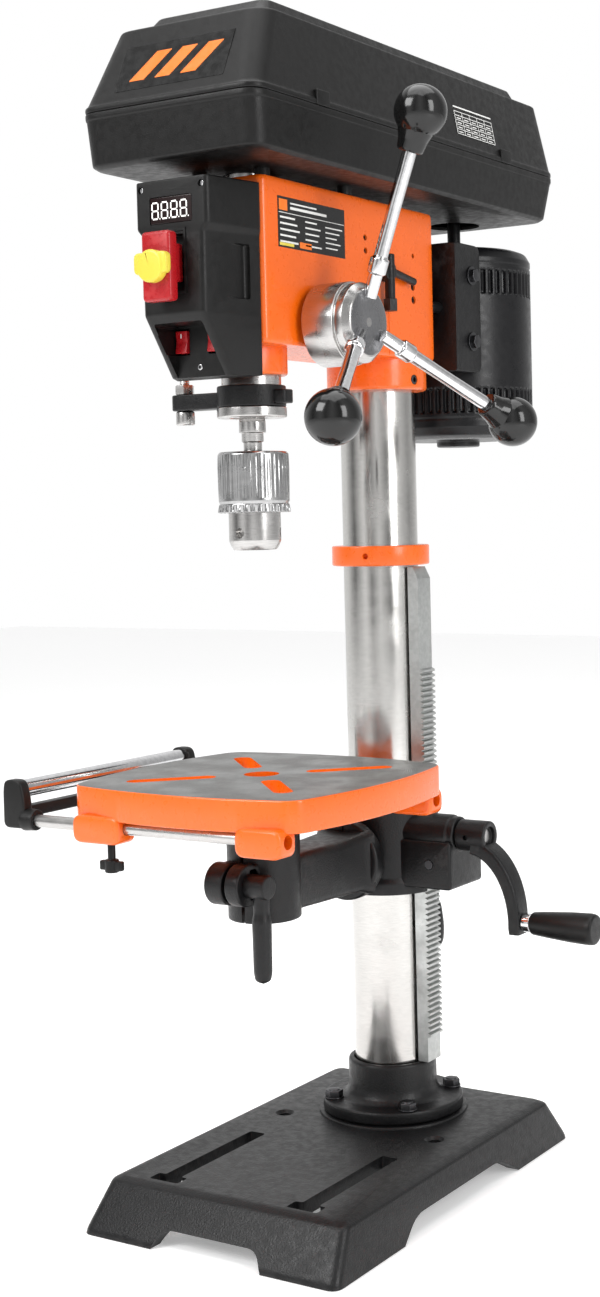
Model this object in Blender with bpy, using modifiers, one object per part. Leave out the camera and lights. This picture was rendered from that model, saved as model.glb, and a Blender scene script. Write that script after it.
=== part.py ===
"""Bench drill press: an assembly of separate pieces, in metres, +Z up, the operator's side at -Y.

The sizes below are in millimetres, measured from the column's axis and the surface that the base stands
on, and the shape builders convert them. The last step moves the whole assembly so that its origin lies
under the middle of its bounding box.
"""

import math

import bmesh
import bpy
from mathutils import Matrix, Vector

MM = 0.001
GAP = 0.3  # clearance between two pieces that touch

# Driving dimensions
COLUMN_R = 32.5
SWING = 304.8
THROAT = SWING / 2 + COLUMN_R  # column axis to spindle axis
QUILL_TRAVEL = 80.0
SPINDLE_Y = -THROAT
COLUMN_TOP = 790.0

# Base and column flange
BASE_H = 39.4
BASE_FOOT = ((-120.4, -275.7), (120.4, 102.7))
BASE_DECK = ((-111.0, -249.6), (111.0, 78.3))
PAD_TOP = BASE_H + 2.0
FLANGE_R = 61.6
FLANGE_TOP = 52.5
SOCKET_R = 38.5
SOCKET_TOP = 86.3
BOLT_CIRCLE_R = 53.0

# Rack on the +X side of the column
RACK_X = (33.1, 43.2)
RACK_TIP_X = 46.0
RACK_HALF_W = 10.5
RACK_Z = (87.0, 515.5)
RACK_TEETH_Z = (108.0, 433.0)
RACK_PITCH = 1.5 * math.pi
COLLAR_Z = (517.3, 534.5)
COLLAR_R = 42.3

# Table bracket: column clamp, worm drive and tilt boss
CLAMP_Z = (236.0, 312.0)
CLAMP_R = 45.0
GEAR_X, GEAR_Z = 60.0, 264.0
WORM_Y, WORM_Z = -13.0, 288.5
WORM_R = 8.8
WORM_HOUSING_R = 16.5
WORM_HOUSING_END = 81.5
TILT_Z = 270.0
TILT_R = 34.0
TILT_FACE_Y = -60.0
LOCK_Y, LOCK_Z = 58.0, 274.0

# Crank
CRANK_X = (WORM_HOUSING_END + 0.8, 110.0)
NECK_START = (92.0, 281.0)  # x and z of the arm's centre line
NECK_END = (135.0, 219.0)
NECK_HALF_T = 5.5
NECK_HALF_W = 10.0
GRIP_END_X = 207.0

# Table arm and table
ARM_CLAMP_R = 29.0
ARM_CLAMP_Z = (245.0, 312.0)
POST_R = 21.0
TABLE_HOLE_R = 14.0
TABLE_LOCK_Y, TABLE_LOCK_Z = -224.0, 278.0
TABLE_TOP = 358.7
TABLE_T = 24.5
TABLE_BOTTOM = TABLE_TOP - TABLE_T
TABLE_CORNER = 104.0
TABLE_BOW = 14.0

# Side extension with its roller
ROD_R = 5.0
ROD_Z = TABLE_BOTTOM - 5.7
ROD_OUT = 105.1  # each rod from the table's centre line
ROD_X = (-150.0, 58.0)
EXT_X = (-171.0, -149.0)
EXT_Z = (322.0, 360.0)
ROLLER_X, ROLLER_Z, ROLLER_R = -161.0, 351.5, 7.0
THUMB_X = -66.0

# Head casting
HEAD_X = 43.1
HEAD_Y = (-224.0, 30.0)
HEAD_Z = (693.0, 819.3)
HEAD_CLAMP_Z = 667.3
QUILL_BOSS_R = 28.8
QUILL_BOSS_Z = 671.6

# Quill, spindle, chuck
QUILL_R = 23.5
QUILL_Z = (639.0, 785.0)
QUILL_FLANGE_R = 27.4
SPINDLE_R = 10.5
SPLINE_R = 8.0
SPINDLE_TOP = 875.0
CHUCK_Z = (535.8, 612.6)
CHUCK_NOSE_R = 20.4
CHUCK_SLEEVE_R = 28.1
CHUCK_TEETH_Z = 565.0
JAW_R = 3.5
JAW_TILT = math.radians(12.0)
JAW_TIP_Z = 537.0
JAW_TIP_RHO = 7.5

# Feed handle on the pinion axis
PINION_Y, PINION_Z = -152.5, 709.8
PINION_R = 12.1
HUB_FACE_X = 90.0
HUB_R = 32.5
ARM_ROOT_X = 84.0
ARM_REACH = 164.7  # hub centre to knob centre
ARM_LEAN = math.radians(20.6)
ARM_FIRST = math.radians(91.0)
KNOB_R = 20.4

# Depth stop
STOP_X, STOP_Y = -64.0, -187.0
STOP_COLLAR_Z = (647.3, 664.0)
LUG_Z = (693.5, 704.0)

# Switch box
BOX_FRONT = -280.0
BOX_REAR = HEAD_Y[0] - GAP
PANEL_Y = -248.0
ROCKERS_X = (-17.0, 13.0)
ROCKER_Z = 695.0
PADDLE_HINGE = (-284.0, 774.0)

# Belt cover, pulleys and motor
COVER_FLOOR = 826.6
COVER_SPLIT = 868.0
COVER_TOP = 933.1
PLATEAU_TOP = 947.0
MOTOR_Y = 141.0
MOTOR_R = 70.0
MOTOR_Z = (628.0, 800.0)
BELT_Z = 856.0
SPINDLE_PULLEY_R = 58.0
MOTOR_PULLEY_R = 38.0
MOUNT_Y = (44.0, 50.0)
MOUNT_Z = (685.0, 797.0)
SLIDE_BAR_X = 37.0
SPEED_LEVER = (-57.0, 762.0)

FINISHES = {
    "orange_paint": ((0.90, 0.20, 0.01), 0.30, 0.0),
    "black_casting": ((0.018, 0.018, 0.020), 0.55, 0.0),
    "black_plastic": ((0.012, 0.012, 0.013), 0.42, 0.0),
    "motor_paint": ((0.014, 0.014, 0.015), 0.40, 0.0),
    "polished_steel": ((0.62, 0.61, 0.59), 0.22, 1.0),
    "dark_steel": ((0.10, 0.10, 0.11), 0.40, 0.9),
    "machined_iron": ((0.30, 0.30, 0.30), 0.38, 0.8),
    "red_plastic": ((0.50, 0.01, 0.02), 0.35, 0.0),
    "yellow_plastic": ((0.90, 0.78, 0.10), 0.40, 0.0),
    "rubber": ((0.02, 0.02, 0.02), 0.80, 0.0),
    "display_glass": ((0.02, 0.02, 0.02), 0.10, 0.0),
}

parts = None


def start_scene():
    """Removes every object and makes the collection that the pieces go in."""
    global parts
    for obj in list(bpy.data.objects):
        bpy.data.objects.remove(obj, do_unlink=True)
    parts = bpy.data.collections.new("drill_press")
    bpy.context.scene.collection.children.link(parts)


# Shape builders, in millimetres


def place(name, mesh):
    obj = bpy.data.objects.new(name, mesh)
    parts.objects.link(obj)
    return obj


def from_bmesh(name, shape):
    bmesh.ops.scale(shape, vec=(MM, MM, MM), verts=shape.verts)
    mesh = bpy.data.meshes.new(name)
    shape.to_mesh(mesh)
    shape.free()
    return place(name, mesh)


def bake(obj):
    """Turns the object's modifiers into its mesh."""
    bpy.context.view_layer.update()
    graph = bpy.context.evaluated_depsgraph_get()
    mesh = bpy.data.meshes.new_from_object(obj.evaluated_get(graph))
    obj.modifiers.clear()
    obj.data = mesh
    return obj


def box(name, low, high):
    shape = bmesh.new()
    bmesh.ops.create_cube(shape, size=1.0)
    size = Vector(high) - Vector(low)
    bmesh.ops.scale(shape, vec=size, verts=shape.verts)
    bmesh.ops.translate(shape, vec=(Vector(high) + Vector(low)) / 2, verts=shape.verts)
    return from_bmesh(name, shape)


def tapered_box(name, bottom, top, z_low, z_high):
    """A box whose bottom and top are two different rectangles, each ((x0, y0), (x1, y1))."""
    shape = bmesh.new()
    bmesh.ops.create_cube(shape, size=1.0)
    for vert in shape.verts:
        corner = top if vert.co.z > 0 else bottom
        vert.co.x = corner[vert.co.x > 0][0]
        vert.co.y = corner[vert.co.y > 0][1]
        vert.co.z = z_high if vert.co.z > 0 else z_low
    return from_bmesh(name, shape)


def rod(name, radius, start, end, segments=20):
    """A cylinder from one point to another."""
    start, end = Vector(start), Vector(end)
    along = end - start
    shape = bmesh.new()
    bmesh.ops.create_cone(
        shape,
        cap_ends=True,
        segments=segments,
        radius1=radius,
        radius2=radius,
        depth=along.length,
    )
    turn = Vector((0, 0, 1)).rotation_difference(along.normalized()).to_matrix().to_4x4()
    bmesh.ops.transform(shape, matrix=Matrix.Translation((start + end) / 2) @ turn, verts=shape.verts)
    return from_bmesh(name, shape)


def turned(name, profile, base=(0, 0, 0), axis=(0, 0, 1), steps=20, closed=False):
    """A shape turned about an axis through base: its profile is (radius, height), down the outer side."""
    mesh = bpy.data.meshes.new(name)
    points = [(r * MM, 0, h * MM) for r, h in profile]
    edges = [(i, i + 1) for i in range(len(points) - 1)]
    if closed:
        edges.append((len(points) - 1, 0))
    mesh.from_pydata(points, edges, [])
    obj = place(name, mesh)
    screw = obj.modifiers.new("turn", "SCREW")
    screw.steps = screw.render_steps = steps
    screw.use_merge_vertices = True
    screw.merge_threshold = 0.00005
    bake(obj)
    turn = Vector((0, 0, 1)).rotation_difference(Vector(axis)).to_matrix().to_4x4()
    obj.data.transform(Matrix.Translation(Vector(base) * MM) @ turn)
    return obj


def plate(name, outline, low, high, plane="XY"):
    """A flat outline, given in the named plane, filled and extruded from low to high along the third axis."""
    shape = bmesh.new()
    sheet = shape.faces.new([shape.verts.new((u, v, low)) for u, v in outline])
    raised = bmesh.ops.extrude_face_region(shape, geom=[sheet])["geom"]
    top = [vert for vert in raised if isinstance(vert, bmesh.types.BMVert)]
    bmesh.ops.translate(shape, vec=(0, 0, high - low), verts=top)
    u_axis, v_axis = ("XYZ".index(letter) for letter in plane)
    third = 3 - u_axis - v_axis
    for vert in shape.verts:
        u, v, along = vert.co
        vert.co[u_axis], vert.co[v_axis], vert.co[third] = u, v, along
    bmesh.ops.recalc_face_normals(shape, faces=shape.faces)
    return from_bmesh(name, shape)


def combine(target, operation, others, solver="EXACT"):
    for other in others:
        boolean = target.modifiers.new(operation.lower(), "BOOLEAN")
        boolean.operation = operation
        boolean.solver = solver
        boolean.object = other
        bake(target)
        bpy.data.objects.remove(other)
    return target


def unite(target, *others, solver="EXACT"):
    return combine(target, "UNION", others, solver)


def cut(target, *cutters, solver="EXACT"):
    return combine(target, "DIFFERENCE", cutters, solver)


def rounded(obj, width, segments=2, angle=40.0):
    bevel = obj.modifiers.new("edges", "BEVEL")
    bevel.width = width * MM
    bevel.segments = segments
    bevel.limit_method = "ANGLE"
    bevel.angle_limit = math.radians(angle)
    return bake(obj)


def rounded_upright(obj, width, segments=3):
    """Rounds only the edges that run mostly along Z."""
    shape = bmesh.new()
    shape.from_mesh(obj.data)
    upright = [e for e in shape.edges if abs((e.verts[0].co - e.verts[1].co).normalized().z) > 0.7]
    bmesh.ops.bevel(shape, geom=upright, offset=width * MM, segments=segments, affect="EDGES", profile=0.5)
    shape.to_mesh(obj.data)
    shape.free()
    return obj


def arc(center, radius, start, end, steps):
    """Points on an arc, with its ends, from start to end in degrees."""
    angles = [math.radians(start + (end - start) * i / steps) for i in range(steps + 1)]
    return [(center[0] + radius * math.cos(a), center[1] + radius * math.sin(a)) for a in angles]


def gear_outline(center, teeth, tip_r, root_r):
    """Straight-sided teeth: a root and a tip flat for each."""
    points = []
    for i in range(teeth):
        for share, radius in ((0.02, root_r), (0.36, root_r), (0.54, tip_r), (0.84, tip_r)):
            angle = 2 * math.pi * (i + share) / teeth
            points.append((center[0] + radius * math.cos(angle), center[1] + radius * math.sin(angle)))
    return points


def hexagon(center, across_flats):
    radius = across_flats / math.sqrt(3)
    return [
        (
            center[0] + radius * math.cos(math.radians(60 * i)),
            center[1] + radius * math.sin(math.radians(60 * i)),
        )
        for i in range(6)
    ]


def finish(obj, finish_name, origin=None):
    """Gives a piece its own material, smooth rounds, and its origin on its joint's axis."""
    colour, roughness, metallic = FINISHES[finish_name]
    material = bpy.data.materials.new(f"{obj.name}_{finish_name}")
    material.use_nodes = True
    shader = material.node_tree.nodes["Principled BSDF"]
    shader.inputs["Base Color"].default_value = (*colour, 1.0)
    shader.inputs["Roughness"].default_value = roughness
    shader.inputs["Metallic"].default_value = metallic
    obj.data.materials.clear()
    obj.data.materials.append(material)
    obj.data.shade_smooth()
    obj.data.set_sharp_from_angle(angle=math.radians(35))
    if origin is not None:
        point = Vector(origin) * MM
        obj.data.transform(Matrix.Translation(-point))
        obj.location = point
    return obj


# Stand: base, column and rack


def make_base():
    base = rounded_upright(tapered_box("base", BASE_FOOT, BASE_DECK, 0, BASE_H), 10)
    unite(base, rod("pad", FLANGE_R + 4, (0, 0, BASE_H - 5), (0, 0, PAD_TOP), 28))
    wall = 11.0
    hollow_low = [
        (BASE_FOOT[0][0] + wall, BASE_FOOT[0][1] + wall),
        (BASE_FOOT[1][0] - wall, BASE_FOOT[1][1] - wall),
    ]
    hollow_top = [
        (BASE_DECK[0][0] + wall, BASE_DECK[0][1] + wall),
        (BASE_DECK[1][0] - wall, BASE_DECK[1][1] - wall),
    ]
    cut(base, tapered_box("hollow", hollow_low, hollow_top, -0.5, BASE_H - 12))
    arch = [(-54, -1), (54, -1), (44, 14), (-44, 14)]
    cut(base, plate("front_arch", arch, -300, -230, "XZ"), plate("rear_arch", arch, 60, 120, "XZ"))
    side = [(-182, -1), (10, -1), (-21, 16), (-157, 16)]
    cut(base, plate("side_arches", side, -130, 130, "YZ"))
    for x in (-66, 66):
        cut(base, box("slot", (x - 8, -236, 20), (x + 8, -112, 50)))
        cut(base, box("slot_end", (x - 14, -240, 20), (x + 14, -226, 50)))
        cut(base, rod("mounting_hole", 5.5, (x * 1.15, -58.5, 20), (x * 1.15, -58.5, 50), 10))
    for x, y in bolt_places():
        cut(base, rod("bolt_hole", 5.3, (x, y, 20), (x, y, 50), 10))
    finish(base, "black_casting")


def bolt_places():
    return [arc((0, 0), BOLT_CIRCLE_R, 45 + 90 * i, 45 + 90 * i, 1)[0] for i in range(4)]


def make_flange():
    profile = [
        (COLUMN_R + GAP, SOCKET_TOP), (SOCKET_R + 1.5, SOCKET_TOP), (SOCKET_R + 1.5, SOCKET_TOP - 6),
        (SOCKET_R, SOCKET_TOP - 8), (SOCKET_R + 1, FLANGE_TOP + 8), (SOCKET_R + 5, FLANGE_TOP),
        (FLANGE_R, FLANGE_TOP), (FLANGE_R, PAD_TOP + GAP), (COLUMN_R + GAP, PAD_TOP + GAP),
    ]
    flange = turned("column_flange", profile, steps=28, closed=True)
    for x, y in bolt_places():
        cut(flange, rod("bolt_hole", 5.3, (x, y, 30), (x, y, 60), 10))
    finish(flange, "black_casting")
    for i, (x, y) in enumerate(bolt_places()):
        head = plate(f"flange_bolt_{i + 1}", hexagon((x, y), 14), FLANGE_TOP + GAP, FLANGE_TOP + 7)
        unite(head, rod("shank", 5, (x, y, BASE_H - 12), (x, y, FLANGE_TOP + 2), 10))
        finish(head, "dark_steel")


def make_column():
    inner = COLUMN_R - 4
    profile = [(COLUMN_R, COLUMN_TOP), (COLUMN_R, PAD_TOP + GAP), (inner, PAD_TOP + GAP), (inner, COLUMN_TOP)]
    finish(turned("column", profile, steps=32, closed=True), "polished_steel")


def make_rack():
    """A toothed bar that hangs between the flange socket and the collar, and swings round the column."""
    low, high = RACK_Z
    outline = [(RACK_X[0], high), (RACK_X[0], low), (RACK_X[1], low)]
    count = int((RACK_TEETH_Z[1] - RACK_TEETH_Z[0]) / RACK_PITCH)
    for i in range(count):
        z = RACK_TEETH_Z[0] + i * RACK_PITCH
        outline += [(RACK_X[1], z), (RACK_TIP_X, z + 0.27 * RACK_PITCH), (RACK_TIP_X, z + 0.63 * RACK_PITCH)]
        outline.append((RACK_X[1], z + 0.9 * RACK_PITCH))
    outline += [(RACK_X[1], high - 10), (RACK_X[1] - 5, high)]
    rack = plate("rack", outline, -RACK_HALF_W, RACK_HALF_W, "XZ")
    finish(rack, "dark_steel", (0, 0, low))
    collar = [
        (COLUMN_R + GAP, COLLAR_Z[1]), (COLLAR_R - 1.5, COLLAR_Z[1]), (COLLAR_R, COLLAR_Z[1] - 1.5),
        (COLLAR_R, COLLAR_Z[0] + 1.5), (COLLAR_R - 1.5, COLLAR_Z[0]), (COLUMN_R + GAP, COLLAR_Z[0]),
    ]
    finish(turned("rack_collar", collar, steps=28, closed=True), "orange_paint")


# Table bracket and its worm drive


def make_bracket():
    bracket = turned(
        "table_bracket",
        [(0, CLAMP_Z[1]), (CLAMP_R - 2, CLAMP_Z[1]), (CLAMP_R, CLAMP_Z[1] - 2), (CLAMP_R, CLAMP_Z[0] + 12),
         (CLAMP_R + 2, CLAMP_Z[0] + 11), (CLAMP_R + 2, CLAMP_Z[0]), (0, CLAMP_Z[0])],
        steps=28,
    )
    housing = rounded(box("gearbox", (30, -31, 243), (81, 24, 284)), 2.5)
    worm_tube = rod("worm_tube", WORM_HOUSING_R, (20, WORM_Y, WORM_Z), (WORM_HOUSING_END, WORM_Y, WORM_Z), 20)
    boss = rod("tilt_boss", TILT_R, (0, TILT_FACE_Y, TILT_Z), (0, -30, TILT_Z), 28)
    ears = rounded(box("clamp_ears", (-10, 25, LOCK_Z - 18), (10, LOCK_Y + 12, LOCK_Z + 18)), 3)
    unite(bracket, housing, worm_tube, boss, ears)
    cut(
        bracket,
        rod("column_bore", COLUMN_R + GAP, (0, 0, 220), (0, 0, 330), 32),
        box("rack_slot", (10, -RACK_HALF_W - 1, 220), (RACK_TIP_X + 1.5, RACK_HALF_W + 1, 330)),
        box("gear_room", (44, -21, 246.5), (77.5, 30, 281)),
        rod("worm_bore", WORM_R + 0.7, (RACK_TIP_X + 0.7, WORM_Y, WORM_Z), (90, WORM_Y, WORM_Z), 20),
        rod("gear_pin_hole", 4 + GAP, (GEAR_X, -40, GEAR_Z), (GEAR_X, -15, GEAR_Z), 10),
        rod("tilt_bolt_hole", 6 + GAP, (0, -70, TILT_Z), (0, -25, TILT_Z), 16),
        box("clamp_slit", (-1.5, 28, 220), (1.5, 90, 330)),
        rod("lock_bolt_hole", 4 + GAP, (-20, LOCK_Y, LOCK_Z), (20, LOCK_Y, LOCK_Z), 10),
    )
    finish(bracket, "black_casting", (0, 0, CLAMP_Z[0]))


def make_worm_drive():
    """The worm turns with the crank; the wheel and the rack pinion share one pin below it."""
    thread = []
    for i in range(5):
        x = 70 - 4.8 * i
        thread += [(WORM_R - 2.2, x), (WORM_R, x - 0.9), (WORM_R, x - 1.7), (WORM_R - 2.2, x - 2.6)]
    profile = [(0, 106), (6, 106), (6, 74)] + thread + [(WORM_R - 2.2, 47.5), (0, 47.5)]
    worm = turned("worm_shaft", profile, (0, WORM_Y, WORM_Z), (1, 0, 0), 16)
    finish(worm, "polished_steel", (CRANK_X[1], WORM_Y, WORM_Z))
    center = (GEAR_X, GEAR_Z)
    wheel = plate("worm_wheel", gear_outline(center, 16, 15.2, 12.9), -19.5, -11, "XZ")
    unite(
        wheel,
        plate("pinion", gear_outline(center, 18, GEAR_X - RACK_TIP_X - 0.4, 11.3), -12, RACK_HALF_W, "XZ"),
        rod("pin", 4, (GEAR_X, -31.5, GEAR_Z), (GEAR_X, 20, GEAR_Z), 10),
    )
    finish(wheel, "dark_steel", (GEAR_X, 0, GEAR_Z))


def crank_outline():
    """The neck's front view: a quarter of an ellipse that leaves the hub outwards and ends pointing down."""
    (x0, z0), (x1, z1) = NECK_START, NECK_END
    inner, outer = [], []
    steps = 8
    for i in range(steps + 1):
        t = math.pi / 2 * i / steps
        x = x0 + (x1 - x0) * math.sin(t)
        z = z1 + (z0 - z1) * math.cos(t)
        slope = Vector(((x1 - x0) * math.cos(t), -(z0 - z1) * math.sin(t))).normalized()
        inner.append((x + slope.y * NECK_HALF_T, z - slope.x * NECK_HALF_T))
        outer.append((x - slope.y * NECK_HALF_T, z + slope.x * NECK_HALF_T))
    foot = [(x1 - NECK_HALF_T, z1 - 8), (x1 - NECK_HALF_T + 2, z1 - 10), (x1 + NECK_HALF_T, z1 - 10)]
    return inner + foot + outer[::-1]


def make_crank():
    axis_point = (CRANK_X[1], WORM_Y, WORM_Z)
    crank = rod("crank_arm", 13.2, (CRANK_X[0], WORM_Y, WORM_Z), axis_point)
    unite(crank, plate("neck", crank_outline(), WORM_Y - NECK_HALF_W, WORM_Y + NECK_HALF_W, "XZ"))
    face_x = NECK_END[0] + NECK_HALF_T
    cut(
        crank,
        rod("shaft_bore", 6 + GAP, (CRANK_X[0] - 5, WORM_Y, WORM_Z), (120, WORM_Y, WORM_Z), 16),
        rod("end_recess", 8.5, (106.5, WORM_Y, WORM_Z), (120, WORM_Y, WORM_Z), 16),
        rod(
            "grip_pin_hole", 4 + GAP, (face_x - 20, WORM_Y, NECK_END[1]),
            (face_x + 5, WORM_Y, NECK_END[1]), 12,
        ),
    )
    finish(crank, "black_casting", axis_point)
    x = face_x + GAP
    profile = [
        (0, GRIP_END_X), (11, GRIP_END_X), (13, GRIP_END_X - 2.5), (12.6, GRIP_END_X - 20), (10, x + 8),
        (7, x + 7.5),
        (7, x), (4, x), (4, x - 2 * NECK_HALF_T), (0, x - 2 * NECK_HALF_T),
    ]
    grip = turned("crank_grip", profile, (0, WORM_Y, NECK_END[1]), (1, 0, 0), 16)
    finish(grip, "black_plastic", (x, WORM_Y, NECK_END[1]))


def make_bracket_lock():
    lever = rod("bracket_lock_lever", 8.5, (10.3, LOCK_Y, LOCK_Z), (19, LOCK_Y, LOCK_Z), 12)
    unite(
        lever,
        rod("bolt", 4, (-16, LOCK_Y, LOCK_Z), (12, LOCK_Y, LOCK_Z), 10),
        rod("stem", 3.5, (15, LOCK_Y, LOCK_Z), (15, LOCK_Y - 4, 212), 10),
        turned(
            "grip", [(0, 214), (5, 213), (8, 200), (7.5, 180), (4, 172), (0, 171)], (15, LOCK_Y - 4, 0),
            steps=12,
        ),
    )
    finish(lever, "black_casting", (0, LOCK_Y, LOCK_Z))


# Table arm, table and side extension


def make_table_arm():
    arm = rod("table_arm", TILT_R, (0, TILT_FACE_Y - GAP, TILT_Z), (0, TILT_FACE_Y - 12, TILT_Z), 28)
    beam = rounded(tapered_box("beam", ((-19, -190), (21, -66)), ((-22, -190), (24, -66)), 247, 293), 5, 3)
    clamp = rod("post_clamp", ARM_CLAMP_R, (0, SPINDLE_Y, ARM_CLAMP_Z[0]), (0, SPINDLE_Y, ARM_CLAMP_Z[1]), 24)
    ear_x = (-18.0, 14.0)
    ear_ends = [(x, TABLE_LOCK_Y, TABLE_LOCK_Z) for x in ear_x]
    ear = rod("ears", 16.5, *ear_ends, 20)
    neck = box(
        "ear_neck", (ear_x[0] + 1, TABLE_LOCK_Y, TABLE_LOCK_Z - 15), (ear_x[1] - 1, -195, TABLE_LOCK_Z + 15)
    )
    unite(arm, beam, clamp, ear, neck)
    post_high = ARM_CLAMP_Z[1] + 20
    cut(
        arm,
        rod("post_bore", POST_R + GAP, (0, SPINDLE_Y, 230), (0, SPINDLE_Y, post_high), 24),
        box("slit", (-1.5, -260, 230), (1.5, -200, post_high)),
        rod("lock_hole", 4 + GAP, (-30, TABLE_LOCK_Y, TABLE_LOCK_Z), (30, TABLE_LOCK_Y, TABLE_LOCK_Z), 10),
        box("underside_pocket", (-14, -150, 230), (15, -73, 285)),
        rod("tilt_bolt_hole", 6 + GAP, (0, -90, TILT_Z), (0, -50, TILT_Z), 16),
    )
    finish(arm, "black_casting", (0, TILT_FACE_Y, TILT_Z))
    bolt = rod("tilt_bolt", 6, (0, -36, TILT_Z), (0, -74, TILT_Z), 16)
    unite(bolt, plate("head", hexagon((0, TILT_Z), 19), -82, -73 - GAP, "XZ"))
    finish(bolt, "dark_steel", (0, TILT_FACE_Y, TILT_Z))
    lever = rod("table_lock_lever", 9.5, (ear_x[1] + GAP, TABLE_LOCK_Y, TABLE_LOCK_Z),
                (33, TABLE_LOCK_Y, TABLE_LOCK_Z), 16)
    grip = [(0, 284), (5, 284), (6.5, 281), (6.5, 258), (7.5, 252), (7.5, 211), (6, 206), (0, 203)]
    unite(
        lever,
        rod("bolt", 4, (-21, TABLE_LOCK_Y, TABLE_LOCK_Z), (20, TABLE_LOCK_Y, TABLE_LOCK_Z), 10),
        turned("grip", grip, (25, TABLE_LOCK_Y, 0), steps=12),
    )
    finish(lever, "black_casting", (0, TABLE_LOCK_Y, TABLE_LOCK_Z))


def table_outline(half, bow, steps=8):
    """A square whose sides bow outwards along arcs through its corners."""
    radius = (half * half + bow * bow) / (2 * bow)
    reach = math.degrees(math.asin(half / radius))
    points = []
    for side in range(4):
        turn = 90 * side
        middle = arc((0, SPINDLE_Y), half + bow - radius, turn, turn, 1)[0]
        points += arc(middle, radius, turn - reach, turn + reach, steps)[:-1]
    return points


def make_table():
    table = plate("table", table_outline(TABLE_CORNER, TABLE_BOW), TABLE_BOTTOM, TABLE_TOP)
    rounded(table, 1.5, 1)
    cut(table, plate("pocket", table_outline(TABLE_CORNER - 10, TABLE_BOW), TABLE_BOTTOM - 5, TABLE_TOP - 11))
    post = [(0, TABLE_TOP - 5), (30, TABLE_TOP - 5), (30, TABLE_BOTTOM), (POST_R + 3, TABLE_BOTTOM - 4),
            (POST_R + 3, ARM_CLAMP_Z[1] + GAP), (POST_R, ARM_CLAMP_Z[1] + GAP), (POST_R, 250), (0, 250)]
    unite(table, turned("post", post, (0, SPINDLE_Y, 0), steps=24))
    for y in (SPINDLE_Y - ROD_OUT, SPINDLE_Y + ROD_OUT):
        for x in ((-96, -50), (57, 98)):
            boss = box("rod_boss", (x[0], y - 10.5, ROD_Z - 12), (x[1], y + 10.5, TABLE_TOP - 6))
            unite(table, rounded(boss, 4, 2))
    hole_end = TABLE_TOP + 5
    cut(table, rod("centre_hole", TABLE_HOLE_R, (0, SPINDLE_Y, 240), (0, SPINDLE_Y, hole_end), 24))
    for side in range(4):
        slot = box("work_slot", (36, -7.5, 300), (106, 7.5, hole_end))
        turn = Matrix.Rotation(math.radians(45 + 90 * side), 4, "Z")
        turn = Matrix.Translation((0, SPINDLE_Y * MM, 0)) @ turn
        slot.data.transform(turn)
        cut(table, slot, solver="MANIFOLD")
    for y in (SPINDLE_Y - ROD_OUT, SPINDLE_Y + ROD_OUT):
        cut(
            table,
            rod("rod_hole", ROD_R + GAP, (-130, y, ROD_Z), (130, y, ROD_Z), 12),
            rod("thumb_hole", 3 + GAP, (THUMB_X, y, 300), (THUMB_X, y, ROD_Z), 10),
            solver="MANIFOLD",
        )
    finish(table, "orange_paint", (0, SPINDLE_Y, TABLE_BOTTOM))


def make_extension():
    ends = (SPINDLE_Y - ROD_OUT, SPINDLE_Y + ROD_OUT)
    frame = box("extension_frame", (-166, ends[0], 329), (-156, ends[1], 338))
    for y, side in zip(ends, (-1, 1)):
        plate_y = sorted((y + side * 5.5, y - side * 4.5))
        unite(
            frame,
            rounded(box("end_plate", (EXT_X[0], plate_y[0], EXT_Z[0]), (EXT_X[1], plate_y[1], EXT_Z[1])), 3),
            rod("rod_socket", 8.5, (EXT_X[1] - 3, y, ROD_Z + 0.5), (EXT_X[1] + 9, y, ROD_Z + 0.5), 16),
        )
    for y in ends:
        cut(frame, rod("rod_hole", ROD_R + GAP, (-152.5, y, ROD_Z), (-120, y, ROD_Z), 12))
    pin_y = (ends[0] - 4.0, ends[1] + 4.0)
    cut(frame, rod("roller_pin_hole", 2.8, (ROLLER_X, pin_y[0] - 0.7, ROLLER_Z),
                   (ROLLER_X, pin_y[1] + 0.7, ROLLER_Z), 10))
    finish(frame, "black_plastic")
    for name, y in zip(("extension_rod_front", "extension_rod_rear"), ends):
        finish(rod(name, ROD_R, (ROD_X[0] - 2, y, ROD_Z), (ROD_X[1], y, ROD_Z), 12), "polished_steel")
    roller_ends = [(ROLLER_X, ends[0] + 5, ROLLER_Z), (ROLLER_X, ends[1] - 5, ROLLER_Z)]
    roller = rod("extension_roller", ROLLER_R, *roller_ends, 16)
    unite(roller, rod("pin", 2.5, (ROLLER_X, pin_y[0], ROLLER_Z), (ROLLER_X, pin_y[1], ROLLER_Z), 10))
    finish(roller, "polished_steel", (ROLLER_X, SPINDLE_Y, ROLLER_Z))
    for name, y in zip(("thumb_screw_front", "thumb_screw_rear"), ends):
        screw = rod(name, 3, (THUMB_X, y, 298), (THUMB_X, y, ROD_Z - ROD_R - GAP), 10)
        knob = rod("knob", 5.5, (THUMB_X, y, 294), (THUMB_X, y, 304), 10)
        wings = rounded(box("wings", (THUMB_X - 11, y - 3, 295.5), (THUMB_X + 11, y + 3, 303)), 1.5, 1)
        finish(unite(screw, knob, wings), "black_plastic", (THUMB_X, y, 298))


# Head: casting, quill, spindle and chuck


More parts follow.
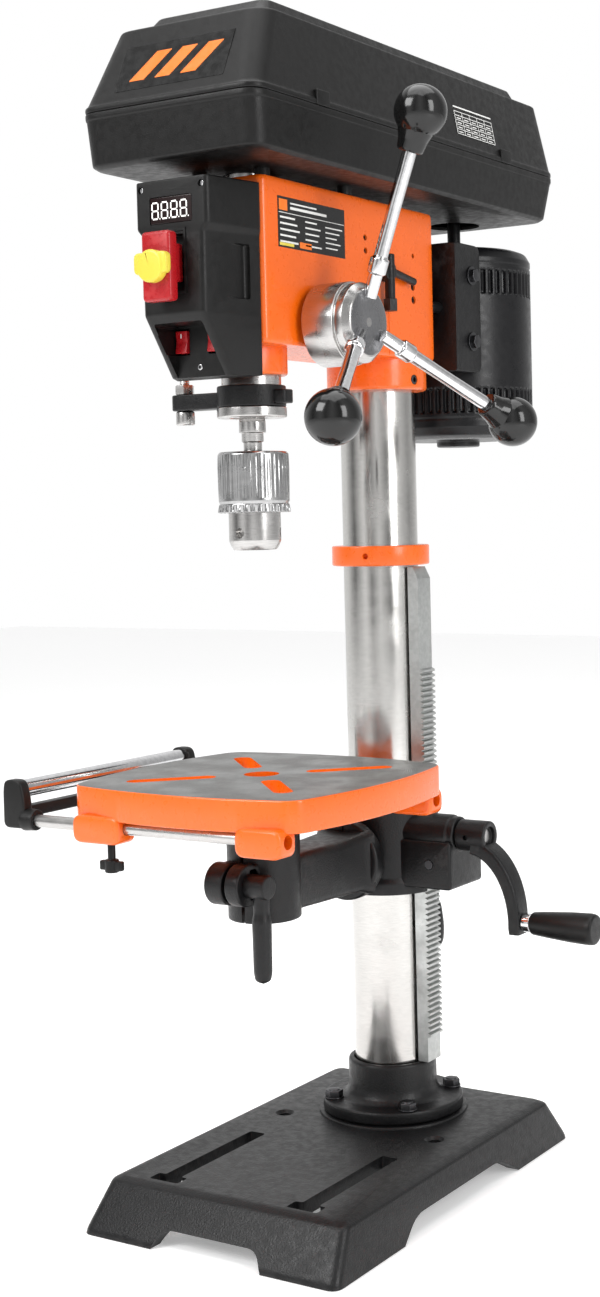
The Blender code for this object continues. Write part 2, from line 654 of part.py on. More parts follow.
def make_head():
    head = rounded_upright(
        box("head_casting", (-HEAD_X, HEAD_Y[0], HEAD_Z[0]), (HEAD_X, HEAD_Y[1], HEAD_Z[1])), 5, 2)
    unite(
        head,
        rod("column_clamp", HEAD_X, (0, 0, HEAD_CLAMP_Z), (0, 0, 720), 28),
        rod("quill_boss", QUILL_BOSS_R, (0, SPINDLE_Y, QUILL_BOSS_Z), (0, SPINDLE_Y, 720), 24),
        rod("pinion_boss", 38, (-46, PINION_Y, PINION_Z), (47.5, PINION_Y, PINION_Z), 28),
        rounded(box("stop_lug", (STOP_X - 9, STOP_Y - 9, LUG_Z[0]), (-38, STOP_Y + 9, LUG_Z[1])), 2, 1),
    )
    cut(
        head,
        rod("column_bore", COLUMN_R + GAP, (0, 0, 650), (0, 0, COLUMN_TOP + GAP), 32),
        rod("quill_bore", QUILL_R + 0.4, (0, SPINDLE_Y, 650), (0, SPINDLE_Y, 788), 24),
        rod("pulley_bore", 16 + GAP, (0, SPINDLE_Y, 780), (0, SPINDLE_Y, 830), 20),
        rod("pinion_bore", 14.5, (-36, PINION_Y, PINION_Z), (60, PINION_Y, PINION_Z), 20),
        rod("shaft_bore", 8 + GAP, (-60, PINION_Y, PINION_Z), (-30, PINION_Y, PINION_Z), 16),
        rod("stop_rod_hole", 4.4, (STOP_X, STOP_Y, 680), (STOP_X, STOP_Y, 720), 10),
        box("top_pocket", (-34, -118, 752), (34, -44, 830)),
        rod("set_screw_hole", 4 + GAP, (30, -7, 675.5), (60, -7, 675.5), 10),
        rod("lever_hole", 5 + GAP, (30, *SPEED_LEVER), (60, *SPEED_LEVER), 10),
    )
    for x in (-SLIDE_BAR_X, SLIDE_BAR_X):
        cut(head, rod("slide_bore", 5 + GAP, (x, 7, 741), (x, 60, 741), 10))
    finish(head, "orange_paint")
    finish(rod("head_set_screw", 4, (COLUMN_R + GAP + 0.1, -7, 675.5), (42.5, -7, 675.5), 10), "dark_steel")


def make_quill():
    """The sleeve that slides in the head, with its rack on the side towards the column."""
    bore = SPINDLE_R + 0.5
    profile = [
        (bore, QUILL_Z[1]), (QUILL_R, QUILL_Z[1]), (QUILL_R, 647), (QUILL_FLANGE_R, 647),
        (QUILL_FLANGE_R, QUILL_Z[0]),
        (bore, QUILL_Z[0]),
    ]
    quill = turned("quill", profile, (0, SPINDLE_Y, 0), steps=24, closed=True)
    flat_y = PINION_Y - PINION_R - GAP
    cut(quill, box("rack_flat", (-13, flat_y, 697), (13, flat_y + 10, 800)))
    pitch = 1.75 * math.pi
    for i in range(15):
        z = 701 + i * pitch
        cut(quill, box("tooth_gap", (-14, flat_y - 2.2, z), (14, flat_y + 5, z + pitch / 2)))
    finish(quill, "polished_steel", (0, SPINDLE_Y, QUILL_Z[0]))


def make_spindle():
    profile = [
        (0, SPINDLE_TOP), (SPLINE_R, SPINDLE_TOP), (SPLINE_R, 786), (SPINDLE_R - 0.5, 784),
        (SPINDLE_R - 0.5, 638),
        (SPINDLE_R, 636), (SPINDLE_R, 627.5), (8.6, 627.5), (8.6, 620), (7, 619.5), (7, 613.5), (6, 612),
        (5.6, 600),
        (0, 600),
    ]
    finish(turned("spindle", profile, (0, SPINDLE_Y, 0), steps=16), "polished_steel", (0, SPINDLE_Y, 640))


def jaw_line(index, z):
    """A point on the axis of one jaw, at a height."""
    angle = math.radians(90 + 120 * index)
    rho = JAW_TIP_RHO + (z - JAW_TIP_Z) * math.tan(JAW_TILT)
    return (rho * math.cos(angle), SPINDLE_Y + rho * math.sin(angle), z)


def make_chuck():
    low, high = CHUCK_Z
    body = turned(
        "chuck_body",
        [(0, 599), (5.9, 599), (6.6, high - 1), (15, high - 1), (CHUCK_NOSE_R, high - 3),
         (CHUCK_NOSE_R, low + 5),
         (CHUCK_NOSE_R - 3.5, low), (0, low)],
        (0, SPINDLE_Y, 0), steps=24,
    )
    cut(body, rod("drill_bore", 8, (0, SPINDLE_Y, low - 5), (0, SPINDLE_Y, 586), 16))
    for i in range(3):
        cut(body, rod("jaw_bore", JAW_R + 0.4, jaw_line(i, 526), jaw_line(i, 596), 12), solver="MANIFOLD")
        angle = math.radians(30 + 120 * i)
        out = Vector((math.cos(angle), math.sin(angle), 0))
        center = Vector((0, SPINDLE_Y, low + 13.5))
        cut(body, rod("key_hole", 4, center + out * 14, center + out * 30, 16), solver="MANIFOLD")
    finish(body, "polished_steel", (0, SPINDLE_Y, low))
    sleeve = turned(
        "chuck_sleeve",
        [(CHUCK_NOSE_R + 0.4, high), (CHUCK_SLEEVE_R - 2, high), (CHUCK_SLEEVE_R, high - 2),
         (CHUCK_SLEEVE_R, CHUCK_TEETH_Z + 8), (CHUCK_SLEEVE_R - 0.8, CHUCK_TEETH_Z + 7),
         (CHUCK_SLEEVE_R - 0.8, CHUCK_TEETH_Z + 4), (CHUCK_NOSE_R + 0.4, CHUCK_TEETH_Z + 4),
         (CHUCK_NOSE_R + 0.4, 578), (CHUCK_NOSE_R + 4, 579), (CHUCK_NOSE_R + 4, 605),
         (CHUCK_NOSE_R + 0.4, 606)],
        (0, SPINDLE_Y, 0), steps=28, closed=True,
    )
    teeth = plate("teeth", gear_outline((0, SPINDLE_Y), 24, CHUCK_SLEEVE_R + 0.6, CHUCK_SLEEVE_R - 1.6),
                  CHUCK_TEETH_Z, CHUCK_TEETH_Z + 6.5)
    cut(teeth, rod("teeth_bore", CHUCK_NOSE_R + 0.4, (0, SPINDLE_Y, 550), (0, SPINDLE_Y, 580), 28))
    finish(unite(sleeve, teeth), "dark_steel", (0, SPINDLE_Y, CHUCK_TEETH_Z))
    for i in range(3):
        jaw = rod(f"chuck_jaw_{i + 1}", JAW_R, jaw_line(i, JAW_TIP_Z), jaw_line(i, 575), 12)
        finish(jaw, "dark_steel", jaw_line(i, JAW_TIP_Z))


def make_depth_stop():
    low, high = STOP_COLLAR_Z
    collar = rod("depth_stop_collar", QUILL_FLANGE_R - 0.4, (0, SPINDLE_Y, low), (0, SPINDLE_Y, high), 24)
    unite(
        collar,
        rounded(box("arm", (STOP_X - 9, STOP_Y - 9, low), (-10, STOP_Y + 9, high - 4)), 2, 1),
        rounded(box("ear", (10, SPINDLE_Y - 7, low + 2), (36, SPINDLE_Y + 7, high - 4)), 2, 1),
    )
    cut(
        collar,
        rod("bore", QUILL_R + GAP, (0, SPINDLE_Y, 630), (0, SPINDLE_Y, 680), 24),
        rod("rod_hole", 4 + GAP, (STOP_X, STOP_Y, 630), (STOP_X, STOP_Y, 680), 10),
    )
    finish(collar, "black_casting")
    stop_rod = rod("depth_rod", 4, (STOP_X, STOP_Y, 636), (STOP_X, STOP_Y, 803), 10)
    unite(stop_rod, rod("knurled_end", 7.5, (STOP_X, STOP_Y, 637), (STOP_X, STOP_Y, low - GAP), 12))
    finish(stop_rod, "dark_steel")
    nuts = {
        "depth_lock_nut": (high - 4 + GAP, high + 4),
        "depth_stop_nut": (LUG_Z[1] + QUILL_TRAVEL + GAP, LUG_Z[1] + QUILL_TRAVEL + 12),
    }
    for name, (z_low, z_high) in nuts.items():
        nut = plate(name, hexagon((STOP_X, STOP_Y), 14), z_low, z_high)
        cut(nut, rod("thread", 4 + GAP, (STOP_X, STOP_Y, z_low - 5), (STOP_X, STOP_Y, z_high + 5), 10))
        finish(nut, "polished_steel", (STOP_X, STOP_Y, z_low))


# Feed handle


def arm_point(index, reach):
    """A point on one feed arm's axis, at a distance from the hub's centre."""
    angle = ARM_FIRST + index * 2 * math.pi / 3
    out = reach * math.cos(ARM_LEAN)
    return Vector((
        ARM_ROOT_X + reach * math.sin(ARM_LEAN),
        PINION_Y + out * math.cos(angle),
        PINION_Z + out * math.sin(angle),
    ))


def make_feed():
    """The hub, with its pinion shaft, and three arms with ball knobs, turned about the X axis."""
    axis_point = (ARM_ROOT_X, PINION_Y, PINION_Z)
    profile = [
        (0, HUB_FACE_X), (HUB_R - 6, HUB_FACE_X), (HUB_R - 1.7, 85), (HUB_R - 1.7, 78), (HUB_R, 77.5),
        (HUB_R, 48.3),
        (PINION_R, 48.3), (PINION_R, -35.7), (8, -35.7), (8, -57), (0, -57),
    ]
    hub = turned("feed_hub", profile, (0, PINION_Y, PINION_Z), (1, 0, 0), 14)
    for i in range(3):
        cut(hub, rod("arm_socket", 5.5 + GAP, arm_point(i, 19), arm_point(i, 50), 12))
    finish(hub, "polished_steel", axis_point)
    for i in range(3):
        out = (arm_point(i, 1) - arm_point(i, 0)).normalized()
        arm = turned(
            f"feed_arm_{i + 1}",
            [(0, 160), (5, 160), (5.5, 140), (5.5, 52), (7.5, 51), (7.5, 40), (5.5, 39), (5.5, 20), (0, 20)],
            arm_point(i, 0), out, 12,
        )
        finish(arm, "polished_steel", axis_point)
        ball = [(KNOB_R * math.sin(math.radians(a)), ARM_REACH + KNOB_R * math.cos(math.radians(a)))
                for a in range(0, 126, 21)]
        knob = turned(
            f"feed_knob_{i + 1}",
            ball + [(11.5, ARM_REACH - 22), (10.5, ARM_REACH - 30), (8, ARM_REACH - 31), (0, ARM_REACH - 31)],
            arm_point(i, 0), out, 18,
        )
        cut(knob, rod("socket", 5.5 + GAP, arm_point(i, 125), arm_point(i, 160 + GAP), 12))
        finish(knob, "black_plastic", axis_point)
    cap = turned(
        "return_spring_cap",
        [(0, 16), (22, 16), (25, 13), (25, 0), (21.5, 0), (21.5, 12.5), (0, 12.5)],
        (-46 - GAP, PINION_Y, PINION_Z), (-1, 0, 0), 20,
    )
    finish(cap, "black_casting")


# Switch box


def make_switch_box():
    top_plan = ((-33, BOX_FRONT), (33, BOX_REAR))
    top = tapered_box("switch_box", top_plan, top_plan, 757, 812)
    lower_plan = ((-28, BOX_FRONT), (28, BOX_REAR))
    lower = tapered_box("lower", lower_plan, lower_plan, 668, 760)
    for shell, rear_half in ((top, 42.5), (lower, 41.5)):
        for vert in shell.data.vertices:
            if vert.co.y > (BOX_REAR - 1) * MM:
                vert.co.x = math.copysign(rear_half * MM, vert.co.x)
    case = unite(rounded_upright(top, 4, 2), rounded_upright(lower, 4, 2))
    wedge = [(-300, 713), (BOX_FRONT, 713), (PANEL_Y, 668), (PANEL_Y, 640), (-300, 640)]
    cut(
        case,
        plate("slope", wedge, -60, 60, "YZ"),
        box("recess", (-24, -300, 640), (24, PANEL_Y, 708)),
        box("inside", (-23, -268, 716), (23, -200, 800)),
        box("paddle_pocket", (-14, -300, 730), (10, -272, 770)),
        box("display_pocket", (-19.5, -300, 779.5), (19.5, BOX_FRONT + 2, 799.5)),
    )
    for x in ROCKERS_X:
        low, high = (x - 6.3, -270, ROCKER_Z - 10), (x + 6.3, PANEL_Y + 14, ROCKER_Z + 10)
        cut(case, box("rocker_pocket", low, high))
    finish(case, "black_plastic")
    window = box("speed_display", (-19.2, BOX_FRONT + 0.2, 779.8), (19.2, BOX_FRONT + 1.7, 799.2))
    finish(window, "display_glass")
    hinge_y, hinge_z = PADDLE_HINGE
    paddle = rounded(box("switch_paddle", (-15, -297, 721), (11, -287, 772)), 2.5)
    unite(paddle, box("stem", (-11, -290, 736), (7, -276, 764)))
    finish(paddle, "red_plastic", (-2, hinge_y, hinge_z))
    key = rod("switch_key", 12, (-2, -305, 746), (-2, -297 - GAP, 746), 20)
    unite(key, rounded(box("tab", (-17, -304, 740), (13, -297 - GAP, 756)), 2, 1))
    finish(key, "yellow_plastic", (-2, -297, 746))
    for name, x in zip(("rocker_left", "rocker_right"), ROCKERS_X):
        rocker = box(name, (x - 5.5, PANEL_Y - 3, ROCKER_Z - 8.5), (x + 5.5, PANEL_Y + 8, ROCKER_Z + 8.5))
        finish(rounded(rocker, 1.5, 1), "red_plastic", (x, PANEL_Y + 4, ROCKER_Z))


# Belt drive, its cover and the motor


def shell_corners(x, front, rear, inset=0.0):
    return ((-x + inset, front + inset), (x - inset, rear - inset))


def make_cover():
    wall = 3.0
    foot = (80.8, -280.7, 178.0)
    rim = (82.8, -285.2, 190.7)
    roof = (70.2, -255.0, 183.0)
    tray = rounded_upright(tapered_box("cover_base", shell_corners(*foot), shell_corners(*rim),
                                       COVER_FLOOR, COVER_SPLIT), 18, 4)
    inside = tapered_box("inside", shell_corners(*foot, wall), shell_corners(*rim, wall),
                         COVER_FLOOR + wall, COVER_SPLIT + 0.5)
    cut(tray, rounded_upright(inside, 16, 4))
    for x, y in ((-30, -205), (30, -205), (-36, -100), (36, -100)):
        unite(tray, rod("spacer", 6, (x, y, HEAD_Z[1] + GAP), (x, y, COVER_FLOOR + 1), 10))
    cut(
        tray,
        rod("spindle_hole", 18, (0, SPINDLE_Y, 810), (0, SPINDLE_Y, 835), 20),
        rod("motor_hole", 24, (0, MOTOR_Y, 810), (0, MOTOR_Y, 835), 20),
    )
    finish(tray, "black_plastic")
    lid = rounded_upright(tapered_box("cover_lid", shell_corners(*rim), shell_corners(*roof),
                                      COVER_SPLIT + GAP, COVER_TOP), 18, 4)
    raised = tapered_box("raised_panel", shell_corners(58, -238, 168), shell_corners(52, -226, 160),
                         COVER_TOP - 5, PLATEAU_TOP)
    unite(rounded(lid, 4, 2), rounded(rounded_upright(raised, 10, 3), 3, 2))
    hollow = tapered_box("hollow", shell_corners(*rim, wall), shell_corners(*roof, wall),
                         COVER_SPLIT - 1, COVER_TOP - wall)
    cut(lid, rounded_upright(hollow, 16, 4))
    finish(lid, "black_plastic", (-rim[0] - 1, 0, COVER_SPLIT + GAP / 2))


def belt_loop(spindle_r, motor_r, steps=12):
    """A loop round both pulleys: two arcs joined by the straight runs that touch them."""
    reach = MOTOR_Y - SPINDLE_Y
    lean = math.degrees(math.asin((spindle_r - motor_r) / reach))
    front = arc((0, SPINDLE_Y), spindle_r, 180 - lean, 360 + lean, steps)
    rear = arc((0, MOTOR_Y), motor_r, lean, 180 - lean, steps)
    return front + rear


def make_pulleys():
    half = 6.0
    groove = 8.0

    def sheave(name, radius, y, bore, hub_r, hub_low):
        profile = [
            (bore, BELT_Z + half + 4), (radius, BELT_Z + half + 4), (radius, BELT_Z + half),
            (radius - groove, BELT_Z + half - 2), (radius - groove, BELT_Z - half + 2),
            (radius, BELT_Z - half),
            (radius, BELT_Z - half - 4), (hub_r, BELT_Z - half - 4), (hub_r, hub_low), (bore, hub_low),
        ]
        finish(turned(name, profile, (0, y, 0), steps=24, closed=True), "dark_steel", (0, y, BELT_Z))

    sheave("spindle_pulley", SPINDLE_PULLEY_R, SPINDLE_Y, SPLINE_R + GAP, 16, 790)
    sheave("motor_pulley", MOTOR_PULLEY_R, MOTOR_Y, 6 + GAP, 13, 834)
    inner = (SPINDLE_PULLEY_R - groove + GAP + 0.1, MOTOR_PULLEY_R - groove + GAP + 0.1)
    belt = plate("drive_belt", belt_loop(inner[0] + 6.5, inner[1] + 6.5, 28), BELT_Z - 3.6, BELT_Z + 3.6)
    cut(belt, plate("inside", belt_loop(*inner, 28), BELT_Z - 10, BELT_Z + 10))
    finish(belt, "rubber")


def make_motor():
    low, high = MOTOR_Z
    profile = [
        (0, BELT_Z + 14), (6, BELT_Z + 14), (6, high + 8), (18, high + 8), (18, high), (MOTOR_R - 8, high),
        (MOTOR_R, high - 8), (MOTOR_R, low + 8), (MOTOR_R - 8, low), (20, low), (20, low - 6), (0, low - 6),
    ]
    motor = turned("motor", profile, (0, MOTOR_Y, 0), steps=28)
    for x in ((-49.7, -41), (41, 49.7)):
        unite(motor, box("mounting_rib", (x[0], 60, 700), (x[1], 110, 782)))
    finish(motor, "motor_paint", (0, MOTOR_Y, low))
    mount = box("motor_mount", (-56, MOUNT_Y[0], MOUNT_Z[0]), (56, MOUNT_Y[1], MOUNT_Z[1]))
    for x in ((-56, -50), (50, 56)):
        unite(mount, box("flange", (x[0], MOUNT_Y[0], MOUNT_Z[0]), (x[1], 88, MOUNT_Z[1])))
    cut(mount, box("clamp_notch", (-30, MOUNT_Y[0] - 5, MOUNT_Z[0] - 5), (30, MOUNT_Y[1] + 5, 724)))
    rounded(mount, 1.5, 1)
    for x in (-SLIDE_BAR_X, SLIDE_BAR_X):
        unite(mount, rod("slide_bar", 5, (x, 17, 741), (x, 46, 741), 10), solver="MANIFOLD")
    finish(mount, "black_casting")


def make_speed_lever():
    """A T-handled lever on the right of the head that sets and holds the motor slide."""
    y, z = SPEED_LEVER
    lever = rod("tension_lever", 5, (34.5, y, z), (50, y, z), 10)
    unite(
        lever,
        rod("hub", 8.5, (HEAD_X + GAP, y, z), (53, y, z), 12),
        rod("handle", 4.2, (51, y, z + 14), (51, y, z - 24), 10),
        rod("pointer", 3.2, (48, y, z + 2), (48, y + 44, z - 5), 12),
        plate("nut", hexagon((51, y), 11), z - 33, z - 23),
    )
    finish(lever, "black_casting", (HEAD_X, y, z))


def centre_on_bounding_box():
    """Moves every piece by one vector, so that the origin lies under the middle of the whole box."""
    bpy.context.view_layer.update()
    corners = [obj.matrix_world @ vert.co for obj in parts.objects for vert in obj.data.vertices]
    low = Vector([min(c[i] for c in corners) for i in range(3)])
    high = Vector([max(c[i] for c in corners) for i in range(3)])
    shift = -Vector(((low.x + high.x) / 2, (low.y + high.y) / 2, low.z))
    for obj in parts.objects:
        obj.location += shift


def main():
    start_scene()
    for make in (
        make_base, make_flange, make_column, make_rack, make_bracket, make_worm_drive, make_crank,
        make_bracket_lock, make_table_arm, make_table, make_extension, make_head, make_quill, make_spindle,
        make_chuck, make_depth_stop, make_feed, make_switch_box, make_cover, make_pulleys, make_motor,
        make_speed_lever,
    ):
        make()
    centre_on_bounding_box()


main()
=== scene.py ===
import math

import bmesh
import bpy
import numpy as np
from mathutils import Matrix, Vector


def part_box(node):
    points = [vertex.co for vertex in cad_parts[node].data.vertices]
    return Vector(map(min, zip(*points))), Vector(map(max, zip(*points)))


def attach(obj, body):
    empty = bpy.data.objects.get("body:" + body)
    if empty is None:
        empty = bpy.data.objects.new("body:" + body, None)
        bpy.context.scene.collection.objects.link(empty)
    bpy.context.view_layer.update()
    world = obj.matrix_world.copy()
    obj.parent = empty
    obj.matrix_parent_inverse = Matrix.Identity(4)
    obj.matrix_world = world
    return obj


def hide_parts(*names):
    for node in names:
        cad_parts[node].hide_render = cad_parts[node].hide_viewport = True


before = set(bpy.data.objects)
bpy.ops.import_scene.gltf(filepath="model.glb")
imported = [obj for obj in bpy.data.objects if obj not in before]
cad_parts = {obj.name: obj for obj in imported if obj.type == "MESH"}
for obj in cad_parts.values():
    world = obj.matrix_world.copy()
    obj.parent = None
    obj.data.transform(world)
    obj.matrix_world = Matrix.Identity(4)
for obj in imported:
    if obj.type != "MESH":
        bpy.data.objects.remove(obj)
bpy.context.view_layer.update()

# Lengths below are millimetres from the column's axis at floor level. COLUMN is that axis in the frame.
MM = 0.001
low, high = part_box("column")
COLUMN = np.array([(low.x + high.x) / 2, (low.y + high.y) / 2, 0.0])
SPINDLE_Y = -184.9
MOTOR_Y = 141.0
ROD_OUT = 105.1  # spindle axis to each rod of the side support
BOLT_CIRCLE = 53.0
HEAD_SIDE_X = 43.1
BOX_FRONT = -280.0
RIM_Y, RIM_Z = -285.2, 868.3  # front of the cover's rim, where hood and tray meet
PINION = np.array([0.0, -152.5, 709.8])


# Shapes worked out on grids


def soft(points, radius=1.0, steps=3, closed=False):
    """Rounds each corner of a polyline, in any number of dimensions, by a parabola."""
    points = np.asarray(points, float)
    before = np.roll(points, 1, axis=0)
    after = np.roll(points, -1, axis=0)
    to_before, to_after = before - points, after - points
    size_before = np.linalg.norm(to_before, axis=1, keepdims=True)
    size_after = np.linalg.norm(to_after, axis=1, keepdims=True)
    radius = np.broadcast_to(np.asarray(radius, float).reshape(-1, 1), (len(points), 1))
    start = points + to_before * np.minimum(radius / np.maximum(size_before, 1e-9), 0.46)
    end = points + to_after * np.minimum(radius / np.maximum(size_after, 1e-9), 0.46)
    t = np.linspace(0, 1, steps + 1)[None, :, None]
    curve = (1 - t) ** 2 * start[:, None] + 2 * t * (1 - t) * points[:, None] + t**2 * end[:, None]
    if closed:
        return curve.reshape(-1, points.shape[1])
    return np.concatenate([points[:1], curve[1:-1].reshape(-1, points.shape[1]), points[-1:]])


def surface(name, rings, loop=False):
    """A mesh from closed rings of equal length: quads between neighbours, then a flat cap at each end."""
    rings = np.asarray(rings, float)
    count, around = rings.shape[:2]
    index = np.arange(count * around).reshape(count, around)
    if loop:
        index = np.concatenate([index, index[:1]])
    a, b = index[:-1], index[1:]
    quads = np.stack([a, np.roll(a, -1, 1), np.roll(b, -1, 1), b], axis=-1).reshape(-1, 4).tolist()
    if not loop:
        quads += [index[0][::-1].tolist(), index[-1].tolist()]
    mesh = bpy.data.meshes.new(name)
    mesh.from_pydata((rings.reshape(-1, 3) * MM + COLUMN).tolist(), [], quads)
    obj = bpy.data.objects.new(name, mesh)
    bpy.context.scene.collection.objects.link(obj)
    return tidy(obj)


def tidy(obj):
    """Merges doubled points, then turns every face outwards."""
    shell = bmesh.new()
    shell.from_mesh(obj.data)
    bmesh.ops.remove_doubles(shell, verts=shell.verts, dist=2e-6)
    bmesh.ops.dissolve_degenerate(shell, edges=shell.edges, dist=1e-6)
    bmesh.ops.recalc_face_normals(shell, faces=shell.faces)
    shell.to_mesh(obj.data)
    shell.free()
    return obj


def directions(axis):
    """Two unit vectors square to an axis."""
    axis = np.asarray(axis, float) / np.linalg.norm(axis)
    side = np.cross(axis, (0, 0, 1.0)) if abs(axis[2]) < 0.9 else np.cross((0, 1.0, 0), axis)
    side /= np.linalg.norm(side)
    return axis, side, np.cross(axis, side)


def turned(name, profile, base, axis=(0, 0, 1), steps=96, edge=0.8, closed=False, corner_steps=3):
    """A surface of revolution: base + along * axis + radius * (cos a * side + sin a * other)."""
    profile = soft(profile, edge, corner_steps, closed)
    axis, side, other = directions(axis)
    angle = np.linspace(0, 2 * np.pi, steps, endpoint=False)
    ring = np.cos(angle)[:, None] * side + np.sin(angle)[:, None] * other
    radius = np.maximum(profile[:, 0], 0.001)
    points = np.asarray(base, float) + profile[:, None, 1:2] * axis + radius[:, None, None] * ring
    return surface(name, points, closed)


def rod(name, radius, start, end, steps=64, edge=0.8):
    start, end = np.asarray(start, float), np.asarray(end, float)
    length = np.linalg.norm(end - start)
    return turned(name, [(0, 0), (radius, 0), (radius, length), (0, length)], start, end - start, steps, edge)


def outline(corners, radius, steps=8):
    """A plane figure with every corner rounded, always with the same number of points."""
    return soft(corners, radius, steps, closed=True)


def rectangle(x0, x1, y0, y1):
    return [(x0, y0), (x1, y0), (x1, y1), (x0, y1)]


def loft(name, sections, corner_steps=8, edge=1.0, edge_steps=4):
    """Rounded rectangles (x0, x1, y0, y1, corner radius, z) carried along a line in those six numbers."""
    line = soft(sections, edge, edge_steps)
    rings = []
    for x0, x1, y0, y1, radius, z in line:
        plan = outline(rectangle(x0, x1, y0, y1), radius, corner_steps)
        rings.append(np.column_stack([plan, np.full(len(plan), z)]))
    return surface(name, rings)


def inward(plan, inset):
    """Each point of a plane figure moved inwards along the mean normal of its two sides."""
    along = np.roll(plan, -1, 0) - np.roll(plan, 1, 0)
    along /= np.maximum(np.linalg.norm(along, axis=1, keepdims=True), 1e-9)
    area = np.sum(plan[:, 0] * np.roll(plan[:, 1], -1) - np.roll(plan[:, 0], -1) * plan[:, 1])
    normal = np.column_stack([-along[:, 1], along[:, 0]]) * np.sign(area)
    return plan + normal * inset


PLANES = {"XY": (0, 1, 2), "XZ": (0, 2, 1), "YZ": (1, 2, 0)}


def slab(name, plan, start, end, plane="XY", edge=1.0, steps=4):
    """A plane figure given thickness, with a quarter round of the edge radius along both rims."""
    plan = np.asarray(plan, float)
    turn = np.linspace(0, np.pi / 2, steps + 1)
    inset = np.concatenate([edge * (1 - np.sin(turn)), edge * (1 - np.cos(turn))])
    level = np.concatenate([start + edge * (1 - np.cos(turn)), end - edge * (1 - np.sin(turn))])
    u, v, w = PLANES[plane]
    rings = np.empty((len(inset), len(plan), 3))
    for i, (amount, height) in enumerate(zip(inset, level)):
        moved = inward(plan, amount)
        rings[i, :, u] = moved[:, 0]
        rings[i, :, v] = moved[:, 1]
        rings[i, :, w] = height
    return surface(name, rings)


def block(name, x, y, z, radius=2.0, edge=1.0, plane="XY"):
    """A rounded bar between three pairs of limits; its corners are rounded in the given plane."""
    spans = (x, y, z)
    u, v, w = PLANES[plane]
    plan = outline(rectangle(*spans[u], *spans[v]), radius, 5)
    return slab(name, plan, *spans[w], plane, edge)


def strips(name, boxes, place):
    """Thin bars (a0, a1, b0, b1, height) laid on a surface; place turns along, up and height into a point."""
    boxes = np.asarray(boxes, float)
    a, b = boxes[:, [0, 1, 1, 0]], boxes[:, [2, 2, 3, 3]]
    height = np.repeat(boxes[:, 4:5], 4, axis=1)
    points = np.concatenate([place(a, b, height * 0 - 0.2), place(a, b, height)], axis=1)
    corners = np.array([(3, 2, 1, 0), (4, 5, 6, 7), (0, 1, 5, 4), (1, 2, 6, 5), (2, 3, 7, 6), (3, 0, 4, 7)])
    faces = (np.arange(len(boxes))[:, None, None] * 8 + corners).reshape(-1, 4)
    mesh = bpy.data.meshes.new(name)
    mesh.from_pydata((points.reshape(-1, 3) * MM + COLUMN).tolist(), [], faces.tolist())
    obj = bpy.data.objects.new(name, mesh)
    bpy.context.scene.collection.objects.link(obj)
    return tidy(obj)


def whole(mesh):
    """True where every edge has exactly two faces."""
    sides = np.zeros(len(mesh.loops), np.int32)
    mesh.loops.foreach_get("edge_index", sides)
    return len(mesh.polygons) > 0 and bool((np.bincount(sides, minlength=len(mesh.edges)) == 2).all())


def combine(target, tools, operation):
    """Applies one Boolean per tool, with the first solver that leaves a closed surface, or else the last."""
    for tool in tools:
        for solver in ("MANIFOLD", "EXACT"):
            step = target.modifiers.new("step", "BOOLEAN")
            step.operation = operation
            step.object = tool
            step.solver = solver
            graph = bpy.context.evaluated_depsgraph_get()
            mesh = bpy.data.meshes.new_from_object(target.evaluated_get(graph))
            target.modifiers.clear()
            if whole(mesh):
                break
        target.data = mesh
        bpy.data.objects.remove(tool, do_unlink=True)
    return target


def unite(target, *tools):
    return combine(target, tools, "UNION")


def cut(target, *tools):
    return combine(target, tools, "DIFFERENCE")


def swept(name, path, half_width, half_height, up, corner=0.5, steps=6):
    """A rounded rectangle carried along a path: half_width lies along up, half_height square to both."""
    path = np.asarray(path, float)
    along = np.gradient(path, axis=0)
    along /= np.linalg.norm(along, axis=1, keepdims=True)
    up = np.asarray(up, float)
    side = np.cross(along, up)
    side /= np.linalg.norm(side, axis=1, keepdims=True)
    half_width = np.broadcast_to(np.asarray(half_width, float), (len(path),))
    half_height = np.broadcast_to(np.asarray(half_height, float), (len(path),))
    rings = []
    for point, out, w, h in zip(path, side, half_width, half_height):
        plan = outline(rectangle(-w, w, -h, h), corner * min(w, h), steps)
        rings.append(point + plan[:, :1] * up + plan[:, 1:] * out)
    return surface(name, rings)


# Finishes


def group(name, inputs, outputs):
    """An empty shader node group with named sockets."""
    tree = bpy.data.node_groups.new(name, "ShaderNodeTree")
    for socket, kind, value in inputs:
        made = tree.interface.new_socket(socket, in_out="INPUT", socket_type=kind)
        made.default_value = value
    for socket, kind in outputs:
        tree.interface.new_socket(socket, in_out="OUTPUT", socket_type=kind)
    return tree, tree.nodes.new("NodeGroupInput"), tree.nodes.new("NodeGroupOutput")


def noise(tree, scale, detail, vector, stretch=None):
    """A noise texture on the object's own coordinates, stretched if asked."""
    if stretch:
        mapping = tree.nodes.new("ShaderNodeMapping")
        mapping.inputs["Scale"].default_value = stretch
        tree.links.new(vector, mapping.inputs["Vector"])
        vector = mapping.outputs["Vector"]
    texture = tree.nodes.new("ShaderNodeTexNoise")
    texture.inputs["Detail"].default_value = detail
    tree.links.new(vector, texture.inputs["Vector"])
    if isinstance(scale, (int, float)):
        texture.inputs["Scale"].default_value = scale
    else:
        tree.links.new(scale, texture.inputs["Scale"])
    return texture.outputs["Fac"]


